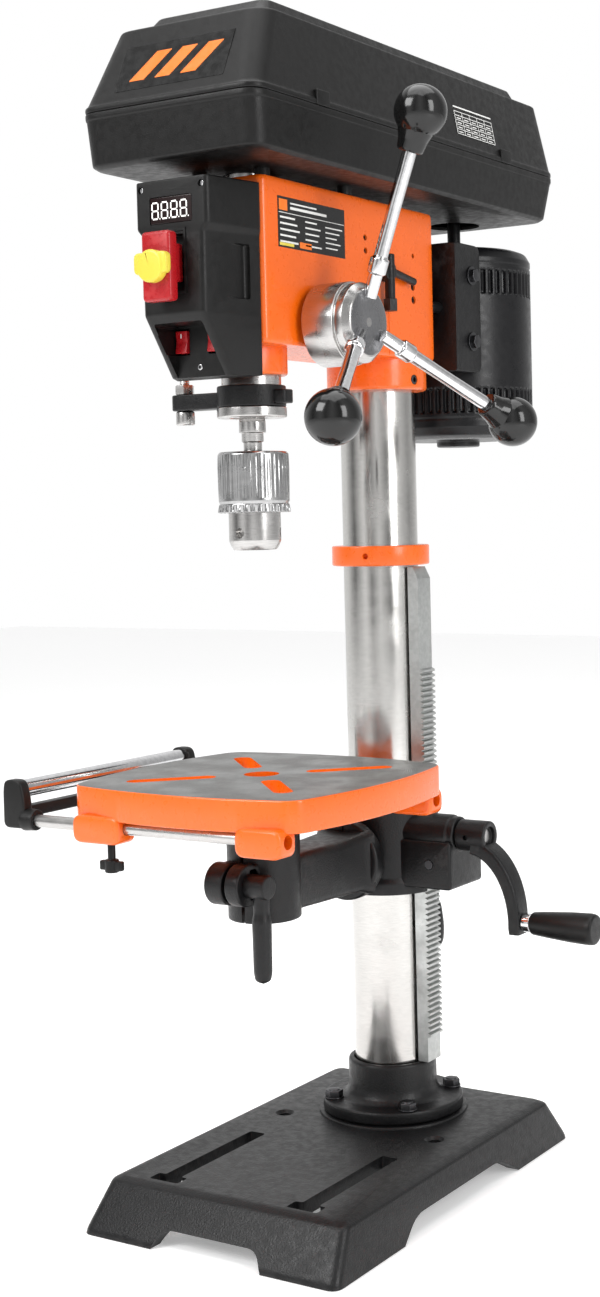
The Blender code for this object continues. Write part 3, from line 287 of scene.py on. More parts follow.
def remap(tree, value, from_low, from_high, to_low, to_high):
    """A smooth ramp of one number onto another range."""
    node = tree.nodes.new("ShaderNodeMapRange")
    node.interpolation_type = "SMOOTHSTEP"
    tree.links.new(value, node.inputs["Value"])
    for socket, limit in (("From Min", from_low), ("From Max", from_high), ("To Min", to_low),
                          ("To Max", to_high)):
        if isinstance(limit, (int, float)):
            node.inputs[socket].default_value = limit
        else:
            tree.links.new(limit, node.inputs[socket])
    return node.outputs["Result"]


def coat_group():
    """Paint or plastic: cloudy colour, rubbed edges, uneven gloss and a grain of a chosen size."""
    tree, inside, outside = group(
        "painted_surface",
        [("Color", "NodeSocketColor", (0.5, 0.5, 0.5, 1)), ("Rubbed", "NodeSocketColor", (0.6, 0.6, 0.6, 1)),
         ("Wear", "NodeSocketFloat", 0.2), ("Roughness", "NodeSocketFloat", 0.4),
         ("Grain Scale", "NodeSocketFloat", 900.0), ("Grain Height", "NodeSocketFloat", 0.1)],
        [("Color", "NodeSocketColor"), ("Roughness", "NodeSocketFloat"), ("Normal", "NodeSocketVector")],
    )
    where = tree.nodes.new("ShaderNodeTexCoord").outputs["Object"]
    cloud = noise(tree, 14.0, 4.0, where)
    patches = noise(tree, 160.0, 6.0, where)
    grain = noise(tree, inside.outputs["Grain Scale"], 3.0, where)
    shade = tree.nodes.new("ShaderNodeMix")
    shade.data_type = "RGBA"
    shade.blend_type = "MULTIPLY"
    shade.inputs["Factor"].default_value = 0.35
    tree.links.new(inside.outputs["Color"], shade.inputs["A"])
    tree.links.new(remap(tree, cloud, 0.3, 0.7, 0.82, 1.0), shade.inputs["B"])
    edges = tree.nodes.new("ShaderNodeNewGeometry").outputs["Pointiness"]
    worn = remap(tree, edges, 0.53, 0.60, 0.0, inside.outputs["Wear"])
    broken = tree.nodes.new("ShaderNodeMath")
    broken.operation = "MULTIPLY"
    tree.links.new(worn, broken.inputs[0])
    tree.links.new(remap(tree, patches, 0.42, 0.62, 0.0, 1.0), broken.inputs[1])
    colour = tree.nodes.new("ShaderNodeMix")
    colour.data_type = "RGBA"
    tree.links.new(broken.outputs[0], colour.inputs["Factor"])
    tree.links.new(shade.outputs["Result"], colour.inputs["A"])
    tree.links.new(inside.outputs["Rubbed"], colour.inputs["B"])
    tree.links.new(colour.outputs["Result"], outside.inputs["Color"])
    uneven = tree.nodes.new("ShaderNodeMath")
    uneven.operation = "MULTIPLY"
    tree.links.new(inside.outputs["Roughness"], uneven.inputs[0])
    tree.links.new(remap(tree, patches, 0.3, 0.7, 0.85, 1.2), uneven.inputs[1])
    tree.links.new(uneven.outputs[0], outside.inputs["Roughness"])
    bump = tree.nodes.new("ShaderNodeBump")
    bump.inputs["Distance"].default_value = 0.0006
    tree.links.new(inside.outputs["Grain Height"], bump.inputs["Strength"])
    tree.links.new(grain, bump.inputs["Height"])
    tree.links.new(bump.outputs["Normal"], outside.inputs["Normal"])
    return tree


def metal_group():
    """Ground or turned metal: fine lines along one direction, smudges, and a colour that drifts."""
    tree, inside, outside = group(
        "worked_metal",
        [("Color", "NodeSocketColor", (0.6, 0.6, 0.6, 1)), ("Roughness", "NodeSocketFloat", 0.25),
         ("Lines", "NodeSocketVector", (1, 1, 1)), ("Line Scale", "NodeSocketFloat", 500.0),
         ("Line Height", "NodeSocketFloat", 0.1)],
        [("Color", "NodeSocketColor"), ("Roughness", "NodeSocketFloat"), ("Normal", "NodeSocketVector")],
    )
    where = tree.nodes.new("ShaderNodeTexCoord").outputs["Object"]
    stretched = tree.nodes.new("ShaderNodeVectorMath")
    stretched.operation = "MULTIPLY"
    tree.links.new(where, stretched.inputs[0])
    tree.links.new(inside.outputs["Lines"], stretched.inputs[1])
    lines = noise(tree, inside.outputs["Line Scale"], 3.0, stretched.outputs[0])
    smudge = noise(tree, 30.0, 5.0, where)
    colour = tree.nodes.new("ShaderNodeMix")
    colour.data_type = "RGBA"
    colour.blend_type = "MULTIPLY"
    colour.inputs["Factor"].default_value = 0.5
    tree.links.new(inside.outputs["Color"], colour.inputs["A"])
    tree.links.new(remap(tree, lines, 0.3, 0.7, 0.72, 1.0), colour.inputs["B"])
    tree.links.new(colour.outputs["Result"], outside.inputs["Color"])
    uneven = tree.nodes.new("ShaderNodeMath")
    uneven.operation = "MULTIPLY"
    tree.links.new(inside.outputs["Roughness"], uneven.inputs[0])
    tree.links.new(remap(tree, smudge, 0.3, 0.7, 0.7, 1.4), uneven.inputs[1])
    tree.links.new(uneven.outputs[0], outside.inputs["Roughness"])
    bump = tree.nodes.new("ShaderNodeBump")
    bump.inputs["Distance"].default_value = 0.0003
    tree.links.new(inside.outputs["Line Height"], bump.inputs["Strength"])
    tree.links.new(lines, bump.inputs["Height"])
    tree.links.new(bump.outputs["Normal"], outside.inputs["Normal"])
    return tree


PAINT = coat_group()
METAL = metal_group()


def material(name, tree, values, **shader_values):
    """One finish: a group for what varies over the surface, and the shader's own constants."""
    made = bpy.data.materials.new(name)
    made.use_nodes = True
    nodes, links = made.node_tree.nodes, made.node_tree.links
    shader = nodes["Principled BSDF"]
    worked = nodes.new("ShaderNodeGroup")
    worked.node_tree = tree
    for socket, value in values.items():
        worked.inputs[socket].default_value = value
    links.new(worked.outputs["Color"], shader.inputs["Base Color"])
    links.new(worked.outputs["Roughness"], shader.inputs["Roughness"])
    links.new(worked.outputs["Normal"], shader.inputs["Normal"])
    for socket, value in shader_values.items():
        shader.inputs[socket.replace("_", " ")].default_value = value
    return made


def paint(name, colour, rubbed, wear, roughness, scale, height, **more):
    return material(
        name, PAINT,
        {"Color": (*colour, 1), "Rubbed": (*rubbed, 1), "Wear": wear, "Roughness": roughness,
         "Grain Scale": scale, "Grain Height": height}, **more)


def metal(name, colour, roughness, lines, scale, height, **more):
    return material(
        name, METAL,
        {"Color": (*colour, 1), "Roughness": roughness, "Lines": lines, "Line Scale": scale,
         "Line Height": height},
        Metallic=1.0, **more)


ORANGE = paint("orange_gloss", (0.86, 0.13, 0.003), (0.92, 0.22, 0.02), 0.05, 0.30, 420.0, 0.06,
               Coat_Weight=0.25, Coat_Roughness=0.10)
CASTING = paint("black_cast_paint", (0.0045, 0.0045, 0.005), (0.04, 0.04, 0.04), 0.4, 0.38, 650.0, 0.45,
                Specular_IOR_Level=0.35)
PLASTIC = paint("black_moulded_plastic", (0.0045, 0.0043, 0.0042), (0.02, 0.02, 0.02), 0.3, 0.40, 1500.0,
                0.22, Specular_IOR_Level=0.30)
GLOSS_BLACK = paint("black_ball_plastic", (0.006, 0.006, 0.006), (0.02, 0.02, 0.02), 0.1, 0.13, 300.0, 0.02)
MOTOR_BLACK = paint("motor_paint", (0.004, 0.004, 0.005), (0.02, 0.02, 0.02), 0.3, 0.32, 900.0, 0.10,
                    Specular_IOR_Level=0.35)
# Near-black finish for the plugs in the head's side holes: painted shade that stands in for the dark inside
# of each hole.
PAINTED_HOLE_SHADOW = paint("shadow_black", (0.003, 0.003, 0.003), (0.01, 0.01, 0.01), 0.1, 0.6, 800.0, 0.1)
RED = paint("red_switch_plastic", (0.40, 0.008, 0.012), (0.75, 0.1, 0.1), 0.2, 0.28, 900.0, 0.06)
YELLOW = paint("yellow_key_plastic", (0.74, 0.60, 0.06), (0.95, 0.85, 0.3), 0.2, 0.33, 900.0, 0.06)
RUBBER = paint("belt_rubber", (0.02, 0.02, 0.02), (0.08, 0.08, 0.08), 0.4, 0.75, 1200.0, 0.4)
WHITE_INK = paint("white_ink", (0.80, 0.80, 0.78), (0.6, 0.6, 0.6), 0.1, 0.5, 1500.0, 0.05)
ORANGE_INK = paint("orange_ink", (0.93, 0.19, 0.01), (0.9, 0.3, 0.1), 0.1, 0.4, 1500.0, 0.05)
LABEL_BLACK = paint("label_film", (0.008, 0.008, 0.008), (0.03, 0.03, 0.03), 0.1, 0.22, 700.0, 0.03)
GLASS = paint("display_window", (0.012, 0.004, 0.004), (0.02, 0.02, 0.02), 0.0, 0.08, 300.0, 0.01)
COLUMN_STEEL = metal("ground_column_steel", (0.62, 0.61, 0.59), 0.20, (1, 1, 20), 160.0, 0.02)
CHROME = metal("chromed_steel", (0.74, 0.74, 0.75), 0.10, (1, 1, 1), 300.0, 0.02)
SPINDLE_STEEL = metal("turned_steel", (0.55, 0.54, 0.53), 0.24, (1, 1, 12), 150.0, 0.10)
HUB_FACE = metal("brushed_hub_steel", (0.30, 0.30, 0.31), 0.30, (3, 1, 1), 500.0, 0.15)
CHUCK_STEEL = metal("knurled_chuck_steel", (0.46, 0.46, 0.46), 0.22, (1, 1, 1), 150.0, 0.03)
ZINC = metal("zinc_rack_steel", (0.50, 0.51, 0.50), 0.38, (1, 1, 1), 260.0, 0.25)
DARK_STEEL = metal("oiled_dark_steel", (0.09, 0.09, 0.095), 0.36, (1, 1, 1), 300.0, 0.2)


def lit_digits():
    made = bpy.data.materials.new("lit_digits")
    made.use_nodes = True
    nodes, links = made.node_tree.nodes, made.node_tree.links
    shader = nodes["Principled BSDF"]
    where = nodes.new("ShaderNodeTexCoord")
    texture = nodes.new("ShaderNodeTexNoise")
    texture.inputs["Scale"].default_value = 300
    ramp = nodes.new("ShaderNodeValToRGB")
    ramp.color_ramp.elements[0].color = (0.75, 0.75, 0.72, 1)
    ramp.color_ramp.elements[1].color = (0.95, 0.95, 0.92, 1)
    links.new(where.outputs["Object"], texture.inputs["Vector"])
    links.new(texture.outputs["Fac"], ramp.inputs["Fac"])
    links.new(ramp.outputs["Color"], shader.inputs["Base Color"])
    links.new(ramp.outputs["Color"], shader.inputs["Emission Color"])
    shader.inputs["Emission Strength"].default_value = 0.6
    return made


DIGITS = lit_digits()


def add(obj, body, finish, *nodes, slot=None, sharp=34):
    """Puts a finished piece on its body, with its finish, in place of the CAD nodes it stands for."""
    tidy(obj)
    obj.data.materials.clear()
    obj.data.materials.append(finish)
    obj.data.shade_smooth()
    obj.data.set_sharp_from_angle(angle=math.radians(sharp))
    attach(obj, body)
    if nodes:
        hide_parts(*nodes)
    return obj


def arc(centre, radius, start, end, steps):
    angle = np.radians(np.linspace(start, end, steps + 1))
    return np.column_stack([centre[0] + radius * np.cos(angle), centre[1] + radius * np.sin(angle)])


def hexagon(centre, flats, turn=0):
    return arc(centre, flats / math.sqrt(3), turn, turn + 300, 5)


# Stand: base, flange, column and rack


def base_plate():
    """A tapered rounded plate on four feet, with arches through its skirts and slots through its deck."""
    plate = loft(
        "base_plate",
        [(-120.4, 120.4, -275.7, 102.7, 10, 0), (-119.6, 119.6, -274.8, 101.8, 10, 4),
         (-112.4, 112.4, -250.9, 79.6, 9, 36.5), (-106, 106, -245, 74, 7, 39.4)],
        edge=3.0,
    )
    unite(plate, turned("pad", [(0, 30), (66.5, 30), (65, 41.4), (0, 41.4)], (0, 0, 0), edge=1.5))
    inside = loft(
        "inside", [(-109, 109, -264.5, 91.5, 8, -2), (-100, 100, -238.6, 67.3, 8, 27.4)], edge=0.1)
    arch = soft([(-55, -4), (55, -4), (44, 14), (-44, 14)], 9, 5, True)
    side = soft([(-186, -4), (14, -4), (-21, 16), (-157, 16)], 12, 5, True)
    cut(
        plate, inside,
        slab("front_arch", arch, -300, -232, "XZ", 0.1), slab("rear_arch", arch, 62, 120, "XZ", 0.1),
        slab("side_arches", side, -130, 130, "YZ", 0.1),
    )
    for x in (-66, 66):
        slot = outline([(x - 7.6, -112), (x + 7.6, -112), (x + 7.6, -227), (x + 14, -227), (x + 14, -240),
                        (x - 14, -240), (x - 14, -227), (x - 7.6, -227)], 2.5, 4)
        cut(
            plate, slab("slot", slot, 15, 60, edge=0.1),
            rod("mounting_hole", 5.6, (x * 1.15, -58.5, 15), (x * 1.15, -58.5, 60), 40, 0.1),
            turned("dish", [(0, 37), (6, 37), (10, 41), (0, 41)], (x * 1.15, -58.5, 0), steps=40, edge=0.1),
        )
    for x, y in arc((0, 0), BOLT_CIRCLE, 45, 315, 3):
        cut(plate, rod("bolt_hole", 5.3, (x, y, 15), (x, y, 60), 32, 0.1))
    add(plate, "root", CASTING, "base", slot="black_casting", sharp=28)


def column_foot():
    flange = turned(
        "foot_flange",
        [(33.1, 41.8), (61.6, 41.8), (61.6, 51.4), (60.4, 52.5), (46, 52.9), (41, 56), (38.8, 62),
         (38.5, 84.6), (36.8, 86.3), (33.1, 86.3)],
        (0, 0, 0), closed=True, edge=2.2, steps=128,
    )
    for x, y in arc((0, 0), BOLT_CIRCLE, 45, 315, 3):
        cut(flange, rod("bolt_hole", 5.3, (x, y, 30), (x, y, 60), 32, 0.1))
    add(flange, "root", CASTING, "column_flange", slot="black_casting")
    for i, (x, y) in enumerate(arc((0, 0), BOLT_CIRCLE, 45, 315, 3)):
        bolt = slab(f"foot_bolt_{i + 1}", hexagon((x, y), 13.4, 15 + 40 * i), 53.4, 59.4, edge=0.7)
        unite(
            bolt, rod("washer", 8.3, (x, y, 52.8), (x, y, 54.0), 40, 0.3),
            rod("shank", 4.8, (x, y, 30), (x, y, 54), 32, 0.5),
            turned("crown", [(0, 58), (5.6, 58), (4.6, 60.2), (0, 60.4)], (x, y, 0), steps=40, edge=0.6))
        add(bolt, "root", DARK_STEEL, f"flange_bolt_{i + 1}", slot="dark_steel")


def column_and_rack():
    (_, _, bottom), (_, _, top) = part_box("column")
    bottom, top = bottom / MM, top / MM
    tube = turned(
        "column_tube", [(28.5, bottom), (32.5, bottom), (32.5, top), (28.5, top)], (0, 0, 0), closed=True,
        edge=0.8, steps=160)
    add(tube, "root", COLUMN_STEEL, "column", slot="polished_steel")
    ring = turned(
        "rack_ring", [(32.8, 517.3), (42.3, 517.3), (42.3, 534.5), (32.8, 534.5)], (0, 0, 0), closed=True,
        edge=1.6, steps=128)
    screw_hole = rod("screw_hole", 2.6, (10, -44, 525.8), (10, -36, 525.8), 32, 0.1)
    add(cut(ring, screw_hole), "root", ORANGE, "rack_collar", slot="orange_paint")


# Table bracket and its worm drive


def bracket():
    body = turned(
        "column_bracket",
        [(0, 312), (43, 312), (45, 310), (45, 250), (47, 246), (47, 236), (0, 236)], (0, 0, 0), edge=1.2,
        steps=128)
    unite(
        body,
        block("gearbox", (30, 81), (-31, 24), (243, 284), 4, 2.2, "XZ"),
        turned("worm_tube", [(0, 20), (16.5, 20), (16.5, 74), (15.2, 76), (15.2, 80.4), (14.4, 81.5),
                             (0, 81.5)],
               (0, -13, 288.5), (1, 0, 0), edge=0.9),
        turned("tilt_boss", [(0, -60), (32.4, -60), (34, -58.4), (34, -30), (0, -30)], (0, 0, 270),
               (0, 1, 0), edge=1.4),
        block("ears", (-10, 10), (25, 70), (256, 292), 6, 2, "YZ"),
    )
    cut(
        body,
        rod("bore", 32.8, (0, 0, 220), (0, 0, 330), 128, 0.1),
        block("rack_way", (10, 47.5), (-11.5, 11.5), (220, 330), 0.5, 0.1),
        block("gear_room", (44, 77.5), (-21, 34), (246.5, 281), 0.5, 0.1),
        rod("worm_bore", 9.5, (46.7, -13, 288.5), (90, -13, 288.5), 48, 0.1),
        rod("gear_pin_hole", 4.4, (60, -40, 264), (60, -15, 264), 32, 0.1),
        rod("tilt_hole", 6.4, (0, -70, 270), (0, -25, 270), 32, 0.1),
        block("slit", (-1.5, 1.5), (28, 90), (220, 330), 0.4, 0.1),
        rod("lock_hole", 4.4, (-20, 58, 274), (20, 58, 274), 32, 0.1),
    )
    add(body, "bracket", CASTING, "table_bracket", slot="black_casting")


def crank():
    """A hub, and a flat neck that follows a quarter of an ellipse down to the handle."""
    hub = turned(
        "crank_neck",
        [(6.3, 82.3), (12.4, 82.3), (13.2, 83.2), (13.2, 109), (12.4, 110), (9, 110), (8.5, 109.2),
         (8.5, 106.6), (6.3, 106.4)],
        (0, -13, 288.5), (1, 0, 0), edge=0.7, closed=True)
    t = np.linspace(0.12, np.pi / 2, 24)
    x = 92 + 43 * np.sin(t)
    z = 219 + 62 * np.cos(t)
    path = np.column_stack([x, np.full_like(x, -13), z])
    path = np.concatenate([path, [(135, -13, 214), (135, -13, 209.3)]])
    wide = np.concatenate([np.linspace(11.5, 9.6, 24), [9.6, 9.0]])
    deep = np.concatenate([np.linspace(6.6, 5.4, 24), [5.4, 5.0]])
    neck = swept("neck", path, wide, deep, (0, 1, 0), 0.55)
    cut(neck, rod("hub_room", 12.0, (70, -13, 288.5), (110.2, -13, 288.5), 64, 0.1))
    unite(hub, neck)
    cut(
        hub, rod("set_screw_hole", 2.2, (93, -35, 288.5), (93, -22, 288.5), 24, 0.1),
        rod("pin_hole", 4.3, (125, -13, 219), (150, -13, 219), 32, 0.1))
    add(hub, "crank", CASTING, "crank_arm", slot="black_casting")
    grip = turned(
        "crank_grip_sleeve",
        [(0, 148.6), (8.2, 148.6), (9.4, 150), (10.6, 162), (12.4, 185), (13, 202), (12.4, 206), (11, 207),
         (0, 207)],
        (0, -13, 219), (1, 0, 0), edge=1.4, steps=72)
    add(grip, "crank_handle", PLASTIC, "crank_grip", slot="black_plastic")
    ferrule = turned(
        "crank_grip_ferrule",
        [(0, 130), (4, 130), (4, 140.8), (7.2, 140.8), (7.8, 141.4), (7.8, 148), (7.2, 148.6), (0, 148.6)],
        (0, -13, 219), (1, 0, 0), edge=0.5, steps=72)
    add(ferrule, "crank_handle", CHROME, slot="polished_steel")


def bracket_lock():
    lever = turned(
        "bracket_lock_handle", [(0, 19), (7.6, 19), (8.5, 18), (8.5, 10.4), (4, 10.4), (4, -16), (0, -16)],
        (0, 58, 274), (1, 0, 0), edge=0.7, steps=64)
    unite(
        lever, rod("stem", 3.5, (15, 58, 272), (15, 54, 208), 32),
        turned("ball", [(0, 171), (4, 171.5), (7.4, 178), (8, 192), (6, 208), (4.4, 214), (0, 214.5)],
               (15, 54, 0), edge=5, steps=64))
    add(lever, "bracket_lock", CASTING, "bracket_lock_lever", slot="black_casting")


# Table arm, table and its side support


def table_arm():
    arm = turned(
        "tilting_arm", [(0, -60.3), (34, -60.3), (34, -70.5), (32.4, -72), (0, -72)], (0, 0, 270), (0, 1, 0),
        edge=1.4)
    rings = []
    for y, x0, x1, z0, z1 in ((-68, -28, 30, 243, 297), (-78, -22.5, 24.5, 246, 294),
                              (-110, -21, 23, 247, 293), (-190, -19, 21, 249, 293)):
        plan = outline(rectangle(x0, x1, z0, z1), 7, 6)
        rings.append(np.column_stack([plan[:, 0], np.full(len(plan), y), plan[:, 1]]))
    beam = surface("beam", rings)
    unite(arm, beam)
    cut(
        arm,
        rod("beam_end", 27.5, (0, SPINDLE_Y, 230), (0, SPINDLE_Y, 330), 96, 0.1),
        block("pocket", (-14, 15), (-150, -73), (230, 285), 3, 0.1),
        rod("tilt_hole", 6.4, (0, -90, 270), (0, -50, 270), 32, 0.1),
    )
    add(arm, "arm", CASTING, "table_arm", slot="black_casting")
    clamp = turned(
        "post_clamp", [(21.3, 245), (28, 245), (29, 246), (29, 311), (28, 312), (21.3, 312)],
        (0, SPINDLE_Y, 0), edge=1, closed=True)
    cut(clamp, block("slit", (-1.5, 1.5), (-260, -200), (230, 330), 0.4, 0.1))
    add(clamp, "arm", CASTING)
    for name, x in (("left", (-18, -1.5)), ("right", (1.5, 14))):
        ear = turned(
            f"clamp_ear_{name}",
            [(0, x[0]), (15.4, x[0]), (16.5, x[0] + 1), (16.5, x[1] - 1), (15.4, x[1]), (0, x[1])],
            (0, -224, 278), (1, 0, 0), edge=1)
        add(ear, "arm", CASTING)
        add(block(f"clamp_ear_neck_{name}", x, (-224, -207), (263, 293), 3, 1, "XZ"), "arm", CASTING)
    lever = turned(
        "table_lock_handle", [(0, 33), (8.4, 33), (9.5, 32), (9.5, 14.3), (4, 14.3), (4, -21), (0, -21)],
        (0, -224, 278), (1, 0, 0), edge=0.8, steps=64)
    unite(
        lever,
        turned("grip", [(0, 284), (4.6, 284), (6.6, 281), (6.3, 258), (7.6, 252), (7.2, 212), (6, 205.6),
                        (0, 203)],
               (25, -224, 0), edge=2, steps=64))
    add(lever, "table_lock", CASTING, "table_lock_lever", slot="black_casting")


def bowed(half, bow, corner):
    """A square whose four sides bow outwards along circles, with rounded corners."""
    radius = (half * half + bow * bow) / (2 * bow)
    reach = math.degrees(math.asin(half / radius)) * 0.94
    points = []
    for turn in (0, 90, 180, 270):
        middle = arc((0, SPINDLE_Y), half + bow - radius, turn, turn, 0)[0]
        points.append(arc(middle, radius, turn - reach, turn + reach, 20))
    joined = np.concatenate(points)
    return soft(joined, corner, 4, True)


def work_table():
    top = 358.7
    table = slab("work_table_casting", bowed(104, 14, 4), 334.2, top, edge=1.6)
    cut(table, slab("pocket", bowed(94, 14, 3), 325, 347.7, edge=0.1))
    post = turned(
        "post", [(0, 353), (34, 353), (30, 340), (25, 332), (24, 312.3), (21, 312.3), (21, 250), (0, 250)],
        (0, SPINDLE_Y, 0), edge=1.5)
    unite(table, post)
    for y in (SPINDLE_Y - ROD_OUT, SPINDLE_Y + ROD_OUT):
        for x in ((-96, -50), (57, 98)):
            unite(table, block("rod_boss", x, (y - 10.5, y + 10.5), (316.5, 338), 8, 3.0, "XZ"))
    cut(table, rod("centre_hole", 14, (0, SPINDLE_Y, 240), (0, SPINDLE_Y, 380), 96, 0.1))
    for turn in (45, 135, 225, 315):
        across = np.array([-math.sin(math.radians(turn)), math.cos(math.radians(turn))])
        out = np.array([across[1], -across[0]])
        ends = np.concatenate([arc((43.5, 0), 7.5, 90, 270, 12), arc((98.5, 0), 7.5, -90, 90, 12)])
        plan = ends[:, :1] * out + ends[:, 1:] * across + (0, SPINDLE_Y)
        cut(table, slab("work_slot", plan, 300, 380, edge=0.1))
    for y in (SPINDLE_Y - ROD_OUT, SPINDLE_Y + ROD_OUT):
        cut(
            table, rod("rod_hole", 5.3, (-130, y, 328.5), (130, y, 328.5), 32, 0.1),
            rod("screw_hole", 3.3, (-66, y, 300), (-66, y, 328.5), 24, 0.1))
    add(table, "work_table", ORANGE, "table", slot="orange_paint")
    table.data.materials.append(TABLE_FACE)
    level = (top - 0.25) * MM
    for face in table.data.polygons:
        if face.normal.z > 0.95 and face.center.z > level:
            face.material_index = 1


def side_support():
    ends = (SPINDLE_Y - ROD_OUT, SPINDLE_Y + ROD_OUT)
    rail = block("support_frame", (-166, -156), ends, (329, 338), 1.5, 0.8, "XZ")
    for y, side in zip(ends, (-1, 1)):
        span = sorted((y + side * 5.5, y - side * 4.5))
        shape = soft([(-171, 322), (-149, 322), (-149, 344), (-153, 360), (-169, 360), (-171, 352)], 6, 6,
                     True)
        unite(
            rail, slab("end", shape, *span, "XZ", 1.8),
            turned("socket", [(0, -152), (9, -152), (8.5, -146), (8.2, -140.6), (7.4, -140), (0, -140)],
                   (0, y, 329), (1, 0, 0), edge=0.8, steps=48))
    for y in ends:
        cut(rail, rod("rod_hole", 5.3, (-152.5, y, 328.5), (-120, y, 328.5), 32, 0.1))
    cut(rail, rod("pin_hole", 2.8, (-161, ends[0] - 4.7, 351.5), (-161, ends[1] + 4.7, 351.5), 24, 0.1))
    add(rail, "extension", PLASTIC, "extension_frame", slot="black_plastic")
    for name, y in zip(("extension_rod_front", "extension_rod_rear"), ends):
        low_x, high_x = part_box(name)[0][0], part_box(name)[1][0]
        span = (np.array([low_x, high_x]) - COLUMN[0]) / MM
        bar = rod(f"{name}_steel", 5, (span[0], y, 328.5), (span[1], y, 328.5), 48, 1.0)
        add(bar, "extension", SPINDLE_STEEL, name, slot="polished_steel")
    roller = turned(
        "support_roller",
        [(0, ends[0] - 4), (2.5, ends[0] - 4), (2.5, ends[0] + 5), (6.6, ends[0] + 5), (7, ends[0] + 5.6),
         (7, ends[1] - 5.6), (6.6, ends[1] - 5), (2.5, ends[1] - 5), (2.5, ends[1] + 4), (0, ends[1] + 4)],
        (-161, 0, 351.5), (0, 1, 0), edge=0.4, steps=64)
    add(roller, "roller", CHROME, "extension_roller", slot="polished_steel")
    for name, body, y in (("thumb_screw_front", "thumb_front", ends[0]),
                          ("thumb_screw_rear", "thumb_rear", ends[1])):
        screw = turned(
            f"{name}_knob", [(0, 294), (5, 294), (5.5, 295), (5.5, 303), (5, 304), (3, 304), (3, 323.2),
                             (0, 323.2)],
            (-66, y, 0), edge=0.6, steps=40)
        for side in (-1, 1):
            wing = soft([(-66, y - 2.6), (-66 + side * 10, y - 3), (-66 + side * 11, y),
                         (-66 + side * 10, y + 3), (-66, y + 2.6)], 1.5, 3, True)
            unite(screw, slab("wing", wing, 295.6, 302.8, edge=1.2))
        add(screw, body, PLASTIC, name, slot="black_plastic")


def table_face():
    """Ground iron: rings round the spindle's axis, crossed by fine random scratches."""
    made = metal("ground_table_face", (0.235, 0.235, 0.23), 0.42, (1, 1, 1), 420.0, 0.15)
    nodes, links = made.node_tree.nodes, made.node_tree.links
    where = nodes.new("ShaderNodeTexCoord")
    centred = nodes.new("ShaderNodeMapping")
    centre = COLUMN + np.array([0, SPINDLE_Y, 0]) * MM
    centred.inputs["Location"].default_value = (-centre[0], -centre[1], 0)
    rings = nodes.new("ShaderNodeTexWave")
    rings.wave_type = "RINGS"
    rings.rings_direction = "Z"
    rings.inputs["Scale"].default_value = 210.0
    rings.inputs["Distortion"].default_value = 1.2
    rings.inputs["Detail"].default_value = 3.0
    rings.inputs["Detail Scale"].default_value = 0.6
    bump = nodes.new("ShaderNodeBump")
    bump.inputs["Strength"].default_value = 0.35
    bump.inputs["Distance"].default_value = 0.0003
    shader = nodes["Principled BSDF"]
    links.new(where.outputs["Object"], centred.inputs["Vector"])
    links.new(centred.outputs["Vector"], rings.inputs["Vector"])
    links.new(rings.outputs["Fac"], bump.inputs["Height"])
    links.new(shader.inputs["Normal"].links[0].from_socket, bump.inputs["Normal"])
    links.new(bump.outputs["Normal"], shader.inputs["Normal"])
    return made


TABLE_FACE = table_face()


# Head, quill and chuck


